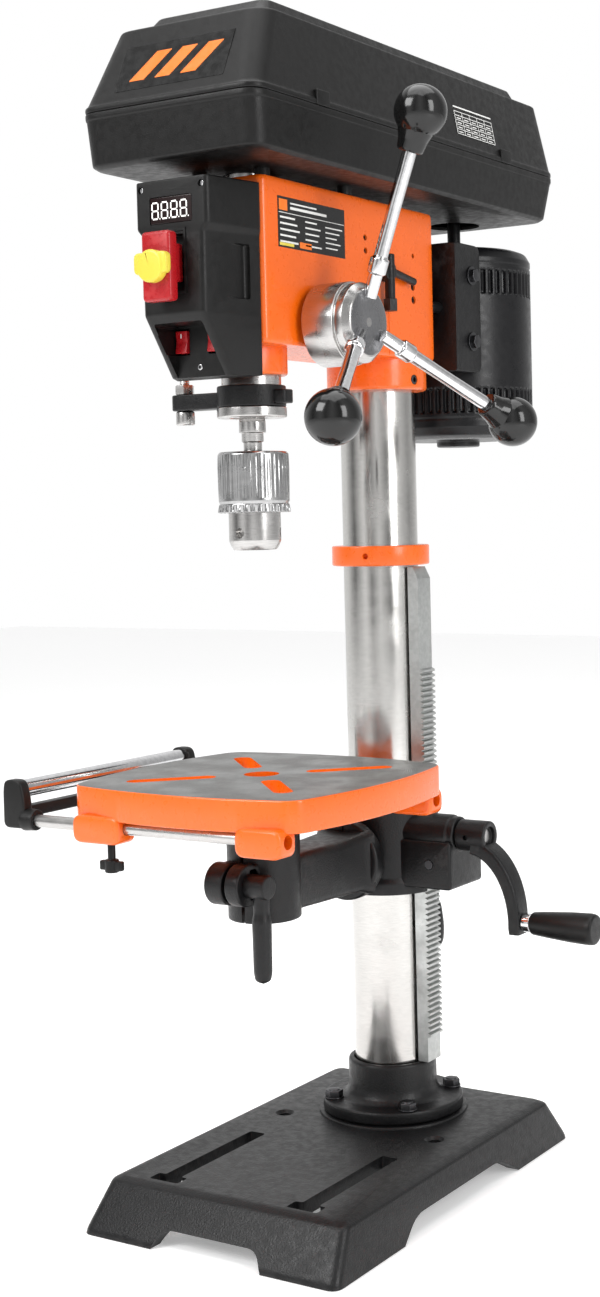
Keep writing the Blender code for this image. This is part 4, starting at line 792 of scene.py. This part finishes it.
def head():
    body = loft(
        "head_body",
        [(-39, 39, -219, 26, 6, 693), (-43.1, 43.1, -224, 30, 7, 693), (-43.1, 43.1, -224, 30, 7, 819.3),
         (-39, 39, -219, 26, 6, 819.3)], edge=4.5)
    unite(
        body,
        turned("column_clamp", [(0, 667.3), (41.6, 667.3), (43.1, 669), (43.1, 720), (0, 720)], (0, 0, 0),
               edge=1.2, steps=128),
        turned("quill_boss", [(0, 671.6), (27.6, 671.6), (28.8, 673), (28.8, 720), (0, 720)],
               (0, SPINDLE_Y, 0), edge=1.0, steps=96),
        turned("pinion_boss", [(0, -46), (36, -46), (38, -44), (38, 44), (36.6, 47.5), (0, 47.5)], PINION,
               (1, 0, 0), edge=2.0, steps=128),
        block("stop_lug", (-73, -38), (-196, -178), (693.5, 704), 4, 1),
    )
    cut(
        body,
        rod("column_bore", 32.8, (0, 0, 650), (0, 0, 790.3), 128, 0.1),
        rod("quill_bore", 23.9, (0, SPINDLE_Y, 650), (0, SPINDLE_Y, 788), 96, 0.1),
        rod("pulley_bore", 16.3, (0, SPINDLE_Y, 780), (0, SPINDLE_Y, 830), 64, 0.1),
        rod("pinion_bore", 14.5, PINION + (-36, 0, 0), PINION + (60, 0, 0), 64, 0.1),
        rod("shaft_bore", 8.3, PINION + (-60, 0, 0), PINION + (-30, 0, 0), 48, 0.1),
        rod("stop_rod_hole", 4.4, (-64, -187, 680), (-64, -187, 720), 32, 0.1),
        block("top_pocket", (-34, 34), (-118, -44), (752, 830), 6, 0.1),
        rod("set_screw_hole", 4.3, (30, -7, 675.5), (60, -7, 675.5), 32, 0.1),
        rod("lever_hole", 5.3, (30, -57, 762), (60, -57, 762), 32, 0.1),
        *(rod("slide_bore", 5.3, (x, 7, 741), (x, 60, 741), 32, 0.1) for x in (-37, 37)),
    )
    for y, z, radius in SIDE_HOLES:
        cut(body, rod("side_hole", radius, (38, y, z), (50, y, z), 24, 0.1))
    seam = slab("seam", rectangle(-48.2, -46.6, 690, 830), 42.5, 50, "YZ", 0.1)
    cut(body, seam)
    add(body, "root", ORANGE, "head_casting", slot="orange_paint", sharp=30)
    screw = rod("clamp_screw", 4, (32.9, -7, 675.5), (42.5, -7, 675.5), 40, 0.5)
    cut(screw, slab("key", hexagon((-7, 675.5), 4), 40, 50, "YZ", 0.1))
    add(screw, "root", DARK_STEEL, "head_set_screw", slot="dark_steel")
    for i, (y, z, radius) in enumerate(SIDE_HOLES):
        # Each recessed plug is painted near-black as painted shade for the hole it sits in.
        plug = rod(f"side_screw_{i + 1}", radius - 0.2, (38.2, y, z), (41.8, y, z), 24, 0.4)
        add(cut(plug, slab("key", hexagon((y, z), radius * 0.9), 40, 50, "YZ", 0.1)), "root", PAINTED_HOLE_SHADOW)


SIDE_HOLES = ((-81.3, 787.4, 2.6), (-80.9, 776.8, 2.6), (-6.0, 780.3, 2.0), (-7.2, 754.0, 3.4),
              (-6.5, 743.0, 3.4))


def quill_and_chuck():
    quill = turned(
        "quill_sleeve",
        [(11, 785), (23.5, 785), (23.5, 647), (27.4, 647), (27.4, 640), (26.6, 639), (20, 639), (19, 640.2),
         (11, 640.2)],
        (0, SPINDLE_Y, 0), edge=0.6, closed=True, steps=112)
    flat = -164.9
    cut(quill, block("flat", (-13, 13), (flat, flat + 14), (697, 800), 0.5, 0.1))
    add(quill, "quill_slide", SPINDLE_STEEL, "quill", slot="polished_steel")
    spindle = turned(
        "spindle_shaft",
        [(0, 875), (8, 875), (8, 786), (10, 784), (10, 638), (10.5, 636), (10.5, 627.5), (8.6, 627.2),
         (8.6, 620.5), (7.2, 620), (7.2, 613.6), (6, 612), (5.6, 600), (0, 600)], (0, SPINDLE_Y, 0), edge=0.5)
    add(spindle, "spindle_turn", SPINDLE_STEEL, "spindle", slot="polished_steel")
    body = turned(
        "chuck_core",
        [(0, 599), (5.9, 599), (6.6, 611.6), (15, 611.6), (20.4, 609.6), (20.4, 543), (19, 539.5),
         (16.9, 535.8), (0, 535.8)], (0, SPINDLE_Y, 0), edge=0.8, steps=112)
    cut(body, rod("drill_bore", 8, (0, SPINDLE_Y, 530), (0, SPINDLE_Y, 586), 64, 0.1))
    for i in range(3):
        turn = math.radians(90 + 120 * i)
        lean = math.tan(math.radians(12))
        ends = [(7.5 + (z - 537) * lean) * np.array([math.cos(turn), math.sin(turn)]) for z in (526, 596)]
        cut(body, rod("jaw_bore", 3.9, (ends[0][0], SPINDLE_Y + ends[0][1], 526),
                      (ends[1][0], SPINDLE_Y + ends[1][1], 596), 32, 0.1))
        turn = math.radians(30 + 120 * i)
        out = np.array([math.cos(turn), math.sin(turn), 0])
        cut(body, rod("key_hole", 4, (0, SPINDLE_Y, 549.3) + out * 14, (0, SPINDLE_Y, 549.3) + out * 30, 40,
                      0.1))
    add(body, "spindle_turn", SPINDLE_STEEL, "chuck_body", slot="polished_steel")
    for i in range(3):
        turn = math.radians(90 + 120 * i)
        lean = math.tan(math.radians(12))
        tip, tail = ((7.5 + (z - 537) * lean, z) for z in (537, 575))
        points = [np.array([rho * math.cos(turn), SPINDLE_Y + rho * math.sin(turn), z])
                  for rho, z in (tip, tail)]
        jaw = rod(f"chuck_jaw_{i + 1}_bar", 3.5, *points, 40, 0.9)
        add(jaw, f"jaw_{i + 1}", DARK_STEEL, f"chuck_jaw_{i + 1}", slot="dark_steel")
    angle = np.linspace(0, 2 * np.pi, 480, endpoint=False)
    wave = np.clip(np.sin(angle * 40) * 3, -1, 1)
    teeth = np.clip(np.sin(angle * 30) * 2.2, -1, 1)
    rings = []
    profile = soft(
        [(20.8, 612.6), (26.3, 612.6), (27.8, 610.6), (27.8, 600), (27.8, 576), (27.8, 574), (26.8, 572),
         (27.4, 571.6), (28.2, 565.6), (27.2, 565), (20.8, 565), (20.8, 578), (24.4, 579), (24.4, 605),
         (20.8, 606)], 0.5, 3, True)
    for radius, z in profile:
        grip = 0.30 * (577 < z < 608) * (radius > 25) * wave
        tooth = 1.3 * (564.9 < z < 571.9) * (radius > 26.5) * (teeth - 0.6) * (571.9 - z) / 7
        r = radius + grip + tooth
        rings.append(np.column_stack([r * np.cos(angle), SPINDLE_Y + r * np.sin(angle),
                                      np.full_like(angle, z)]))
    sleeve = surface("chuck_ring", rings, True)
    add(sleeve, "sleeve", CHUCK_STEEL, "chuck_sleeve", slot="dark_steel", sharp=40)


def depth_stop():
    collar = turned(
        "stop_collar", [(0, 647.3), (26.4, 647.3), (27, 648), (27, 663.2), (26.4, 664), (0, 664)],
        (0, SPINDLE_Y, 0), edge=0.8, steps=112)
    unite(
        collar, block("arm", (-73, -10), (-196, -178), (647.3, 660), 7, 1.4),
        block("ear", (10, 36), (-191.9, -177.9), (649.3, 660), 4, 1.2))
    cut(
        collar, rod("bore", 23.8, (0, SPINDLE_Y, 630), (0, SPINDLE_Y, 680), 96, 0.1),
        rod("rod_hole", 4.3, (-64, -187, 630), (-64, -187, 680), 32, 0.1))
    add(collar, "quill_slide", CASTING, "depth_stop_collar", slot="black_casting")
    thread = [(0, 636), (6.8, 636), (7.5, 637), (7.5, 646), (6.6, 647), (4, 647)]
    for step in range(96):
        z = 662 + step * 1.42
        thread += [(4.0, z), (3.45, z + 0.71)]
    thread += [(4, 799), (3.2, 803), (0, 803)]
    bar = turned("threaded_stop_rod", thread, (-64, -187, 0), edge=0.1, steps=32, corner_steps=1)
    add(bar, "quill_slide", SPINDLE_STEEL, "depth_rod", slot="dark_steel", sharp=50)
    for name, body in (("depth_lock_nut", "quill_slide"), ("depth_stop_nut", "stop_nut")):
        z0, z1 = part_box(name)[0][2] / MM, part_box(name)[1][2] / MM
        nut = slab(f"{name}_steel", hexagon((-64, -187), 13.8), z0, z1, edge=0.8)
        add(cut(nut, rod("thread", 4.3, (-64, -187, z0 - 5), (-64, -187, z1 + 5), 32, 0.1)), body,
            SPINDLE_STEEL, name, slot="polished_steel")


# Feed handle


def feed_handle():
    hub = turned(
        "feed_hub_drum",
        [(0, 90), (25.6, 90), (26.5, 89.6), (31.2, 84.6), (31.2, 78.6), (30.2, 78), (30.2, 77), (32.5, 76.4),
         (32.5, 49), (31.8, 48.3), (12.1, 48.3), (12.1, -35.7), (8, -35.7), (8, -57), (0, -57)],
        PINION, (1, 0, 0), edge=0.5, steps=160)
    lean = math.radians(20.6)
    for i in range(3):
        turn = math.radians(91 + 120 * i)
        out = np.array([math.sin(lean), math.cos(lean) * math.cos(turn), math.cos(lean) * math.sin(turn)])
        root = PINION + (84, 0, 0)
        arm = turned(
            f"feed_arm_{i + 1}_bar",
            [(0, 20), (5.5, 20), (5.5, 38.6), (7.5, 39.6), (7.5, 51), (5.6, 52.4), (5.2, 90), (5.6, 128),
             (5, 160), (0, 160)],
            root, out, edge=1.0, steps=64)
        add(arm, "feed", CHROME, f"feed_arm_{i + 1}", slot="polished_steel")
        polar = np.radians(np.linspace(0, 137, 30))
        ball = np.column_stack([20.4 * np.sin(polar), 164.7 + 20.4 * np.cos(polar)])
        profile = np.concatenate([ball, [(11.6, 143), (10.4, 136), (9.6, 134.2), (8, 133.7), (0, 133.7)]])
        knob = turned(f"feed_knob_{i + 1}_ball", profile, root, out, edge=0.6, steps=96)
        cut(knob, rod("socket", 5.8, root + 125 * out, root + 160.3 * out, 40, 0.1))
        add(knob, "feed", GLOSS_BLACK, f"feed_knob_{i + 1}", slot="black_plastic", sharp=50)
    add(hub, "feed", SPINDLE_STEEL, "feed_hub", slot="polished_steel")
    disc = turned("feed_hub_face", [(3.6, 89.7), (25.2, 89.7), (25.2, 90.2), (3.6, 90.2)], PINION, (1, 0, 0),
                  edge=0.1, steps=128, closed=True)
    add(disc, "feed", HUB_FACE)
    cap = turned(
        "spring_cap", [(0, 62.3), (21.5, 62.3), (25, 59), (25, 46.3), (21.5, 46.3), (21.5, 58.8), (0, 58.8)],
        PINION, (-1, 0, 0), edge=1.2)
    add(cap, "root", CASTING, "return_spring_cap", slot="black_casting")


# Switch box


def console_ring(front, rear, half_front, half_rear, z, radius):
    plan = outline([(-half_front, front), (half_front, front), (half_rear, rear), (-half_rear, rear)],
                   radius, 6)
    return np.column_stack([plan, np.full(len(plan), z)])


def switch_box():
    rear = -224.3
    line = soft(
        [(-278, 31, 42, 812), (-280, 33, 42.5, 812), (-280, 33, 42.5, 777), (-280, 28.4, 41.6, 772),
         (-280, 28, 41.5, 713), (-248, 28, 41.5, 668), (-246, 26, 41, 668)], 1.6, 4)
    rings = [console_ring(front, rear, a, b, z, 4) for front, a, b, z in line]
    case = surface("console", rings)
    cut(
        case,
        block("recess", (-22.5, 22.5), (-310, -247.7), (664, 707), 2.5, 0.1, "XZ"),
        block("inside", (-23, 23), (-268, -200), (716, 800), 2, 0.1),
        block("paddle_pocket", (-15.6, 11.6), (-300, -272), (729, 771), 2, 0.1, "XZ"),
        block("display_pocket", (-19.6, 19.6), (-300, -278), (779.4, 799.6), 1.5, 0.1, "XZ"),
    )
    for x in (-17, 13):
        cut(case, block("rocker_pocket", (x - 6.3, x + 6.3), (-270, -234), (685, 705), 1, 0.1, "XZ"))
    for x, z in ((-28, 806), (28, 806)):
        cut(case, rod("screw_recess", 2.6, (x, -290, z), (x, -277, z), 32, 0.1))
    panel = soft([(34.0, -268), (34.0, -236), (60, -236), (60, -268)], 3, 4, True)
    cut(case, slab("side_recess", panel, 724, 765, edge=2.0))
    add(case, "root", PLASTIC, "switch_box", slot="black_plastic", sharp=30)
    for i, (x, y, z) in enumerate(((-28, -278.2, 806), (28, -278.2, 806), (-1, -248.6, 675.5))):
        screw = rod(f"console_screw_{i + 1}", 2.3, (x, y + 2, z), (x, y, z), 32, 0.5)
        add(cut(screw, slab("key", hexagon((x, z), 2.2), y - 1, y + 1, "XZ", 0.1)), "root", CHROME)
    window = block("display_glass", (-19.2, 19.2), (-279.8, -278.3), (779.8, 799.2), 1.2, 0.4, "XZ")
    add(window, "root", GLASS, "speed_display", slot="display_glass")
    bars = []
    for x in (-14.6, -5.8, 3.0, 11.8):
        bars += [(x - 2.2, x + 2.2, z - 0.55, z + 0.55, 0.15) for z in (783.6, 789.5, 795.4)]
        bars += [(x + side * 2.8 - 0.5, x + side * 2.8 + 0.5, z - 2.3, z + 2.3, 0.15)
                 for side in (-1, 1) for z in (786.55, 792.45)]
        bars.append((x + 3.9, x + 4.8, 783.1, 784.0, 0.15))
    digits = strips("display_digits", bars, lambda a, b, h: np.stack([a, -279.8 - h, b], axis=-1))
    add(digits, "root", DIGITS)
    bezel_bars = [(-17.5, 13.5, 773.2, 775.4, 0.8), (-17.5, 13.5, 727, 729.0, 0.8),
                  (-17.5, -15.6, 729, 773.2, 0.8), (11.6, 13.5, 729, 773.2, 0.8)]
    bezel = strips("switch_surround", bezel_bars, lambda a, b, h: np.stack([a, BOX_FRONT - h, b], axis=-1))
    add(bezel, "root", PLASTIC)
    paddle = block("stop_paddle", (-15, 11), (-297, -287), (721, 772), 3.5, 2.0, "XZ")
    unite(paddle, block("stem", (-11, 7), (-290, -276), (736, 764), 2, 0.6, "XZ"))
    add(paddle, "paddle", RED, "switch_paddle", slot="red_plastic")
    key = turned("key_disc", [(0, -297.3), (12, -297.3), (12, -304), (10.6, -305), (0, -305)], (-2, 0, 746),
                 (0, 1, 0), edge=0.8, steps=96)
    unite(key, block("key_tab", (-17, 13), (-304, -297.3), (740, 756), 4.5, 1.4, "XZ"))
    add(key, "key", YELLOW, "switch_key", slot="yellow_plastic")
    for name, body, x in (("rocker_left", "rocker_l", -17), ("rocker_right", "rocker_r", 13)):
        tilt = soft([(-251, 686.5), (-249.2, 695), (-250.4, 703.5), (-240, 703.5), (-240, 686.5)], 1.0, 4,
                    True)
        rocker = slab(f"{name}_key", tilt, x - 5.5, x + 5.5, "YZ", 0.9)
        add(rocker, body, RED, name, slot="red_plastic")
        marks = [(x - 0.5, x + 0.5, 698, 701.4, 0.12)]
        mark = strips(f"{name}_mark", marks, lambda a, b, h: np.stack([a, -250.05 - h, b], axis=-1))
        add(mark, body, WHITE_INK)


# Belt drive and its cover


def cover():
    tray = loft(
        "cover_tray",
        [(-75.8, 75.8, -275.7, 173, 14, 829.6), (-79.8, 79.8, -282.2, 187.7, 16, 868),
         (-82.8, 82.8, -285.2, 190.7, 18, 868), (-82.8, 82.8, -285.2, 190.7, 18, 863.4),
         (-82.2, 82.2, -284.2, 189.6, 17.6, 862.4), (-80.8, 80.8, -280.7, 178.0, 18, 829),
         (-77.4, 77.4, -277, 174.4, 16, 826.6)], edge=1.6)
    for x, y in ((-30, -205), (30, -205), (-36, -100), (36, -100)):
        unite(tray, rod("spacer", 6, (x, y, 819.6), (x, y, 828), 32, 0.3))
    cut(
        tray, rod("spindle_hole", 18, (0, SPINDLE_Y, 810), (0, SPINDLE_Y, 835), 64, 0.1),
        rod("motor_hole", 24, (0, MOTOR_Y, 810), (0, MOTOR_Y, 835), 64, 0.1))
    add(tray, "root", PLASTIC, "cover_base", slot="black_plastic")
    lid = loft(
        "cover_hood",
        [(-67.2, 67.2, -252, 180, 15, 930.1), (-79.8, 79.8, -282.2, 187.7, 16, 868.3),
         (-82.8, 82.8, -285.2, 190.7, 18, 868.3), (-82.8, 82.8, -285.2, 190.7, 18, 872.2),
         (-81.4, 81.4, -283.4, 190, 17.5, 873.4), (-70.2, 70.2, -255, 183, 18, 933.1),
         (-58, 58, -238, 168, 10, 933.1), (-52, 52, -226, 160, 9, 947.0), (-46, 46, -220, 154, 8, 947.0)],
         edge=2.6, edge_steps=5)
    for y in (-198, 92):
        unite(lid, block("latch", (78, 83.4), (y - 9, y + 9), (868.3, 880), 2, 1.0, "YZ"))
    add(lid, "lid", PLASTIC, "cover_lid", slot="black_plastic")
    rise, lean = 64.8, 30.2
    run = math.hypot(rise, lean)

    def front(a, b, h):
        """The sloping front of the hood: a across it, b above the rim in height, h off its surface."""
        return np.stack([a, RIM_Y + 0.466 * (b - RIM_Z) - h * rise / run - 0.5, b + h * lean / run], axis=-1)

    chevrons = []
    for i in range(3):
        chevrons += [(-38 + 24 * i + k * 0.9, -24 + 24 * i + k * 0.9, 888 + k, 889.05 + k, 0.35)
                     for k in range(22)]
    add(strips("front_badge", [(-50, 51, 881, 917, 0.2)], front), "lid", LABEL_BLACK)
    add(strips("front_badge_bars", chevrons, front), "lid", ORANGE_INK)

    def side(a, b, h):
        """The sloping right side of the hood: a along it, b in height, h off its surface."""
        return np.stack([82.8 - 0.1944 * (b - RIM_Z) + h + 0.15, a, b], axis=-1)

    chart = [(11, 77, z, z + 0.5, 0.15) for z in (882, 886, 890, 894, 898, 901.5)]
    chart += [(y, y + 0.5, 882, 901.5, 0.15) for y in (11, 24, 37, 50, 63, 76.5)]
    chart += [(14 + 13 * i, 21 + 13 * i, z, z + 0.8, 0.15)
              for i in range(5) for z in (883.6, 887.6, 891.6, 895.6)]
    chart.append((11, 77, 905, 906.2, 0.15))
    add(strips("speed_chart", chart, side), "lid", WHITE_INK)


def head_label():
    def on_head(a, b, h):
        return np.stack([HEAD_SIDE_X + h, a, b], axis=-1)

    add(strips("side_label", [(-204.7, -112.1, 766.8, 805.4, 0.2)], on_head), "root", LABEL_BLACK)
    lines = [(-188, -152, 800.6, 801.8, 0.35), (-188, -138, 796.6, 798.6, 0.35)]
    lines += [(-202, -182 + (3 * i) % 8, 789 - 4.6 * i, 790.4 - 4.6 * i, 0.35) for i in range(5)]
    lines += [(-168, -152 + (5 * i) % 7, 789 - 4.6 * i, 790.2 - 4.6 * i, 0.35) for i in range(5)]
    lines += [(-140, -116 - (4 * i) % 9, 788 - 4.0 * i, 789 - 4.0 * i, 0.35) for i in range(5)]
    lines += [(-203.6, -113.2, 793.0, 793.5, 0.35)]
    add(strips("side_label_lines", lines, on_head), "root", WHITE_INK)
    blocks = [(-203, -192, 795, 803.4, 0.35), (-176, -160, 768.4, 773.0, 0.35)]
    add(strips("side_label_blocks", blocks, on_head), "root", ORANGE_INK)
    warn = [(-203, -184, 768.2, 770.4, 0.35)]
    add(strips("side_label_band", warn, on_head), "root", YELLOW)


def drive():
    for name, piece, body, radius, y, bore, hub, low_z in (
        ("spindle_pulley", "front_sheave", "front_pulley", 58, SPINDLE_Y, 8.3, 16, 790),
        ("motor_pulley", "rear_sheave", "rear_pulley", 38, MOTOR_Y, 6.3, 13, 834),
    ):
        sheave = turned(
            piece,
            [(bore, 866), (hub, 866), (hub + 2, 863.4), (radius - 12, 863.4), (radius - 9, 866),
             (radius, 866), (radius, 862), (radius - 8, 860), (radius - 8, 852), (radius, 850),
             (radius, 846), (hub, 846), (hub, low_z), (bore, low_z)],
            (0, y, 0), edge=0.6, closed=True)
        add(sheave, body, SPINDLE_STEEL, name, slot="dark_steel")
    reach = MOTOR_Y - SPINDLE_Y
    lean = math.degrees(math.asin(20 / reach))
    path = []
    for radius, y, start, end in ((53.6, SPINDLE_Y, 180 - lean, 360 + lean),
                                  (33.6, MOTOR_Y, lean, 180 - lean)):
        path.append(arc((0, y), radius, start, end, 60))
    loop = np.concatenate(path)
    out = np.roll(loop, -1, 0) - np.roll(loop, 1, 0)
    out = np.column_stack([out[:, 1], -out[:, 0]]) / np.linalg.norm(out, axis=1, keepdims=True)
    section = soft([(-3.2, -3.1), (3.2, -3.6), (3.2, 3.6), (-3.2, 3.1)], 0.6, 2, True)
    rings = loop[:, None, :] + section[None, :, :1] * out[:, None, :]
    heights = np.broadcast_to(856 + section[None, :, 1:], rings.shape[:2] + (1,))
    belt = surface("drive_vee_belt", np.concatenate([rings, heights], axis=-1), True)
    add(belt, "root", RUBBER, "drive_belt", slot="rubber")


# Motor and its mount


def motor():
    """A revolved shell whose wall dips into rows of upright slots: two smooth steps multiplied."""
    around = 360
    angle = np.linspace(0, 2 * np.pi, around, endpoint=False)
    body = soft(
        [(0, 870), (6, 870), (6, 808), (18, 808), (18, 800), (58, 800), (66, 797), (70, 790), (70, 638),
         (66, 631), (58, 628), (20, 628), (20, 622), (0, 622)], 2.0, 4)
    wall = (body[:, 0] > 69.5) & (body[:, 1] < 792) & (body[:, 1] > 636)
    first, last = np.flatnonzero(wall)[[0, -1]]
    upright = np.column_stack([np.full(150, 70.0), np.linspace(body[first, 1], body[last, 1], 150)])
    body = np.concatenate([body[:first], upright, body[last + 1:]])
    rings = []
    for radius, z in body:
        r = np.full(around, max(radius, 0.001))
        if radius > 69.9:
            row = sum(1 / (1 + np.exp(np.clip((abs(z - middle) - 10.5) / 0.35, -40, 40)))
                      for middle in (768, 662))
            step = (angle / (2 * np.pi) * 60) % 1.0
            slot = 1 / (1 + np.exp(np.clip((np.abs(step - 0.5) - 0.24) / 0.04, -40, 40)))
            r = r - 3.2 * row * slot
            r = r - 0.5 * (abs(z - 784.5) < 0.8) - 0.5 * (abs(z - 646) < 0.8)
        rings.append(np.column_stack([r * np.cos(angle), MOTOR_Y + r * np.sin(angle), np.full(around, z)]))
    shell = surface("motor_shell", rings)
    for x in ((-49.7, -41), (41, 49.7)):
        unite(shell, block("rib", x, (60, 110), (700, 782), 2, 1.2, "YZ"))
    add(shell, "motor_slide", MOTOR_BLACK, "motor", slot="motor_paint", sharp=38)
    mount = block("motor_bracket", (-56, 56), (44, 50), (685, 797), 2, 0.8, "XZ")
    for x in ((-56, -50), (50, 56)):
        shape = soft([(44, 685), (84, 685), (88, 690), (88, 792), (84, 797), (44, 797)], 5, 5, True)
        unite(mount, slab("cheek", shape, *x, "YZ", 0.9))
    cut(mount, block("clamp_notch", (-30, 30), (36, 58), (675, 724), 2, 0.1, "XZ"))
    for x in (-37, 37):
        unite(mount, rod("slide_bar", 5, (x, 17, 741), (x, 46, 741), 48, 0.8))
    add(mount, "motor_slide", CASTING, "motor_mount", slot="black_casting")
    for i, z in enumerate((712, 770)):
        bolt = slab(f"motor_bolt_{i + 1}", hexagon((72, z), 11, 12), 57, 61.5, "YZ", 0.6)
        unite(bolt, rod("washer", 8.2, (56.1, 72, z), (57.4, 72, z), 40, 0.3))
        add(bolt, "motor_slide", DARK_STEEL)


def belt_tension_lever():
    y, z = -57, 762
    lever = turned("belt_lever", [(0, 34.5), (5, 34.5), (5, 43.4), (8.5, 43.4), (8.5, 52.2), (7.6, 53),
                                  (0, 53)],
                   (0, y, z), (1, 0, 0), edge=0.6, steps=64)
    unite(
        lever, rod("handle", 4.2, (51, y, z + 14), (51, y, z - 24), 48, 1.6),
        rod("pointer", 3.2, (48, y, z + 2), (48, y + 44, z - 5), 40, 1.4),
        slab("nut", hexagon((51, y), 11), z - 33, z - 23, edge=0.7))
    add(lever, "tension", CASTING, "tension_lever", slot="black_casting")


for build in (
    base_plate, column_foot, column_and_rack, bracket, crank, bracket_lock, table_arm, work_table,
    side_support, head, quill_and_chuck, depth_stop, feed_handle, switch_box, cover, head_label, drive,
    motor, belt_tension_lever,
):
    build()

for name, finish in (("rack", ZINC), ("worm_shaft", SPINDLE_STEEL), ("worm_wheel", DARK_STEEL),
                     ("tilt_bolt", DARK_STEEL)):
    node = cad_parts[name]
    node.data.materials.clear()
    node.data.materials.append(finish)


# Camera, floor and light

CAMERA_PLACE = (859.0, -1370.0, 563.7)
CAMERA_TURNS = (31.0, 2.4, -1.3)  # degrees: round the column, down, and about the line of sight
CAMERA_LENS = 51.49
CAMERA_SHIFT = (-0.0900, -0.0463)
FLOOR_HALF, FLOOR_Z = 6, -0.0005  # metres


def camera():
    turn, tilt, roll = np.radians(CAMERA_TURNS)
    right = np.array([math.cos(turn), math.sin(turn), 0.0])
    back = np.array([math.sin(turn) * math.cos(tilt), -math.cos(turn) * math.cos(tilt), math.sin(tilt)])
    up = np.cross(back, right)
    across = math.cos(roll) * right + math.sin(roll) * up
    upright = math.cos(roll) * up - math.sin(roll) * right
    place = Matrix.Identity(4)
    position = np.array(CAMERA_PLACE) * MM + COLUMN
    for row in range(3):
        place[row] = (across[row], upright[row], back[row], position[row])
    data = bpy.data.cameras.new("camera")
    data.sensor_width = 36.0
    data.lens = CAMERA_LENS
    data.shift_x, data.shift_y = CAMERA_SHIFT
    obj = bpy.data.objects.new("camera", data)
    obj.matrix_world = place
    bpy.context.scene.collection.objects.link(obj)
    bpy.context.scene.camera = obj


def floor():
    mesh = bpy.data.meshes.new("floor")
    corners = [(x, y, FLOOR_Z) for x, y in rectangle(-FLOOR_HALF, FLOOR_HALF, -FLOOR_HALF, FLOOR_HALF)]
    mesh.from_pydata(corners, [], [(0, 1, 2, 3)])
    obj = bpy.data.objects.new("floor", mesh)
    bpy.context.scene.collection.objects.link(obj)
    made = bpy.data.materials.new("pale_floor")
    made.use_nodes = True
    shader = made.node_tree.nodes["Principled BSDF"]
    shader.inputs["Base Color"].default_value = (0.93, 0.93, 0.93, 1)
    shader.inputs["Roughness"].default_value = 0.7
    shader.inputs["Emission Color"].default_value = (1, 1, 1, 1)
    shader.inputs["Emission Strength"].default_value = 0.30
    mesh.materials.append(made)


def lamp(name, place, aim, size, power):
    data = bpy.data.lights.new(name, "AREA")
    data.shape = "RECTANGLE"
    data.size, data.size_y = size
    data.energy = power
    obj = bpy.data.objects.new(name, data)
    back = np.array(place, float) - np.array(aim, float)
    back, right, up = directions(back)
    matrix = Matrix.Identity(4)
    for row in range(3):
        matrix[row] = (right[row], up[row], back[row], place[row])
    obj.matrix_world = matrix
    bpy.context.scene.collection.objects.link(obj)


def studio():
    """An even white room with darker bands, which the steel mirrors as soft upright stripes."""
    world = bpy.data.worlds.new("studio")
    world.use_nodes = True
    nodes, links = world.node_tree.nodes, world.node_tree.links
    background = nodes["Background"]
    where = nodes.new("ShaderNodeTexCoord")
    split = nodes.new("ShaderNodeSeparateXYZ")
    around = nodes.new("ShaderNodeMath")
    around.operation = "ARCTAN2"
    ramp = nodes.new("ShaderNodeValToRGB")
    spread = nodes.new("ShaderNodeMapRange")
    spread.inputs["From Min"].default_value = -math.pi
    spread.inputs["From Max"].default_value = math.pi
    links.new(where.outputs["Generated"], split.inputs["Vector"])
    links.new(split.outputs["Y"], around.inputs[0])
    links.new(split.outputs["X"], around.inputs[1])
    links.new(around.outputs[0], spread.inputs["Value"])
    links.new(spread.outputs["Result"], ramp.inputs["Fac"])
    stops = ((0.0, 0.9), (0.10, 0.16), (0.20, 1.0), (0.26, 0.25), (0.33, 0.9), (0.42, 0.14), (0.50, 0.85),
             (0.62, 0.4), (0.8, 0.9), (1.0, 0.9))
    elements = ramp.color_ramp.elements
    while len(elements) < len(stops):
        elements.new(0.5)
    for element, (position, level) in zip(elements, stops):
        element.position = position
        element.color = (level, level, level, 1)
    ray = nodes.new("ShaderNodeLightPath")
    seen = nodes.new("ShaderNodeMix")
    seen.data_type = "RGBA"
    links.new(ray.outputs["Is Camera Ray"], seen.inputs["Factor"])
    links.new(ramp.outputs["Color"], seen.inputs["A"])
    seen.inputs["B"].default_value = (1.0, 1.0, 1.0, 1)
    links.new(seen.outputs["Result"], background.inputs["Color"])
    background.inputs["Strength"].default_value = 1.0
    bpy.context.scene.world = world
    bpy.context.scene.view_settings.view_transform = "Standard"
    lamp("key", (-0.9, -2.2, 2.2), (0, 0, 0.5), (1.4, 1.4), 50)
    lamp("side", (2.4, -0.6, 1.4), (0, 0, 0.5), (0.8, 1.8), 30)
    lamp("top", (0, 0, 3.0), (0, 0, 0), (2.5, 2.5), 42)


camera()
floor()
studio()
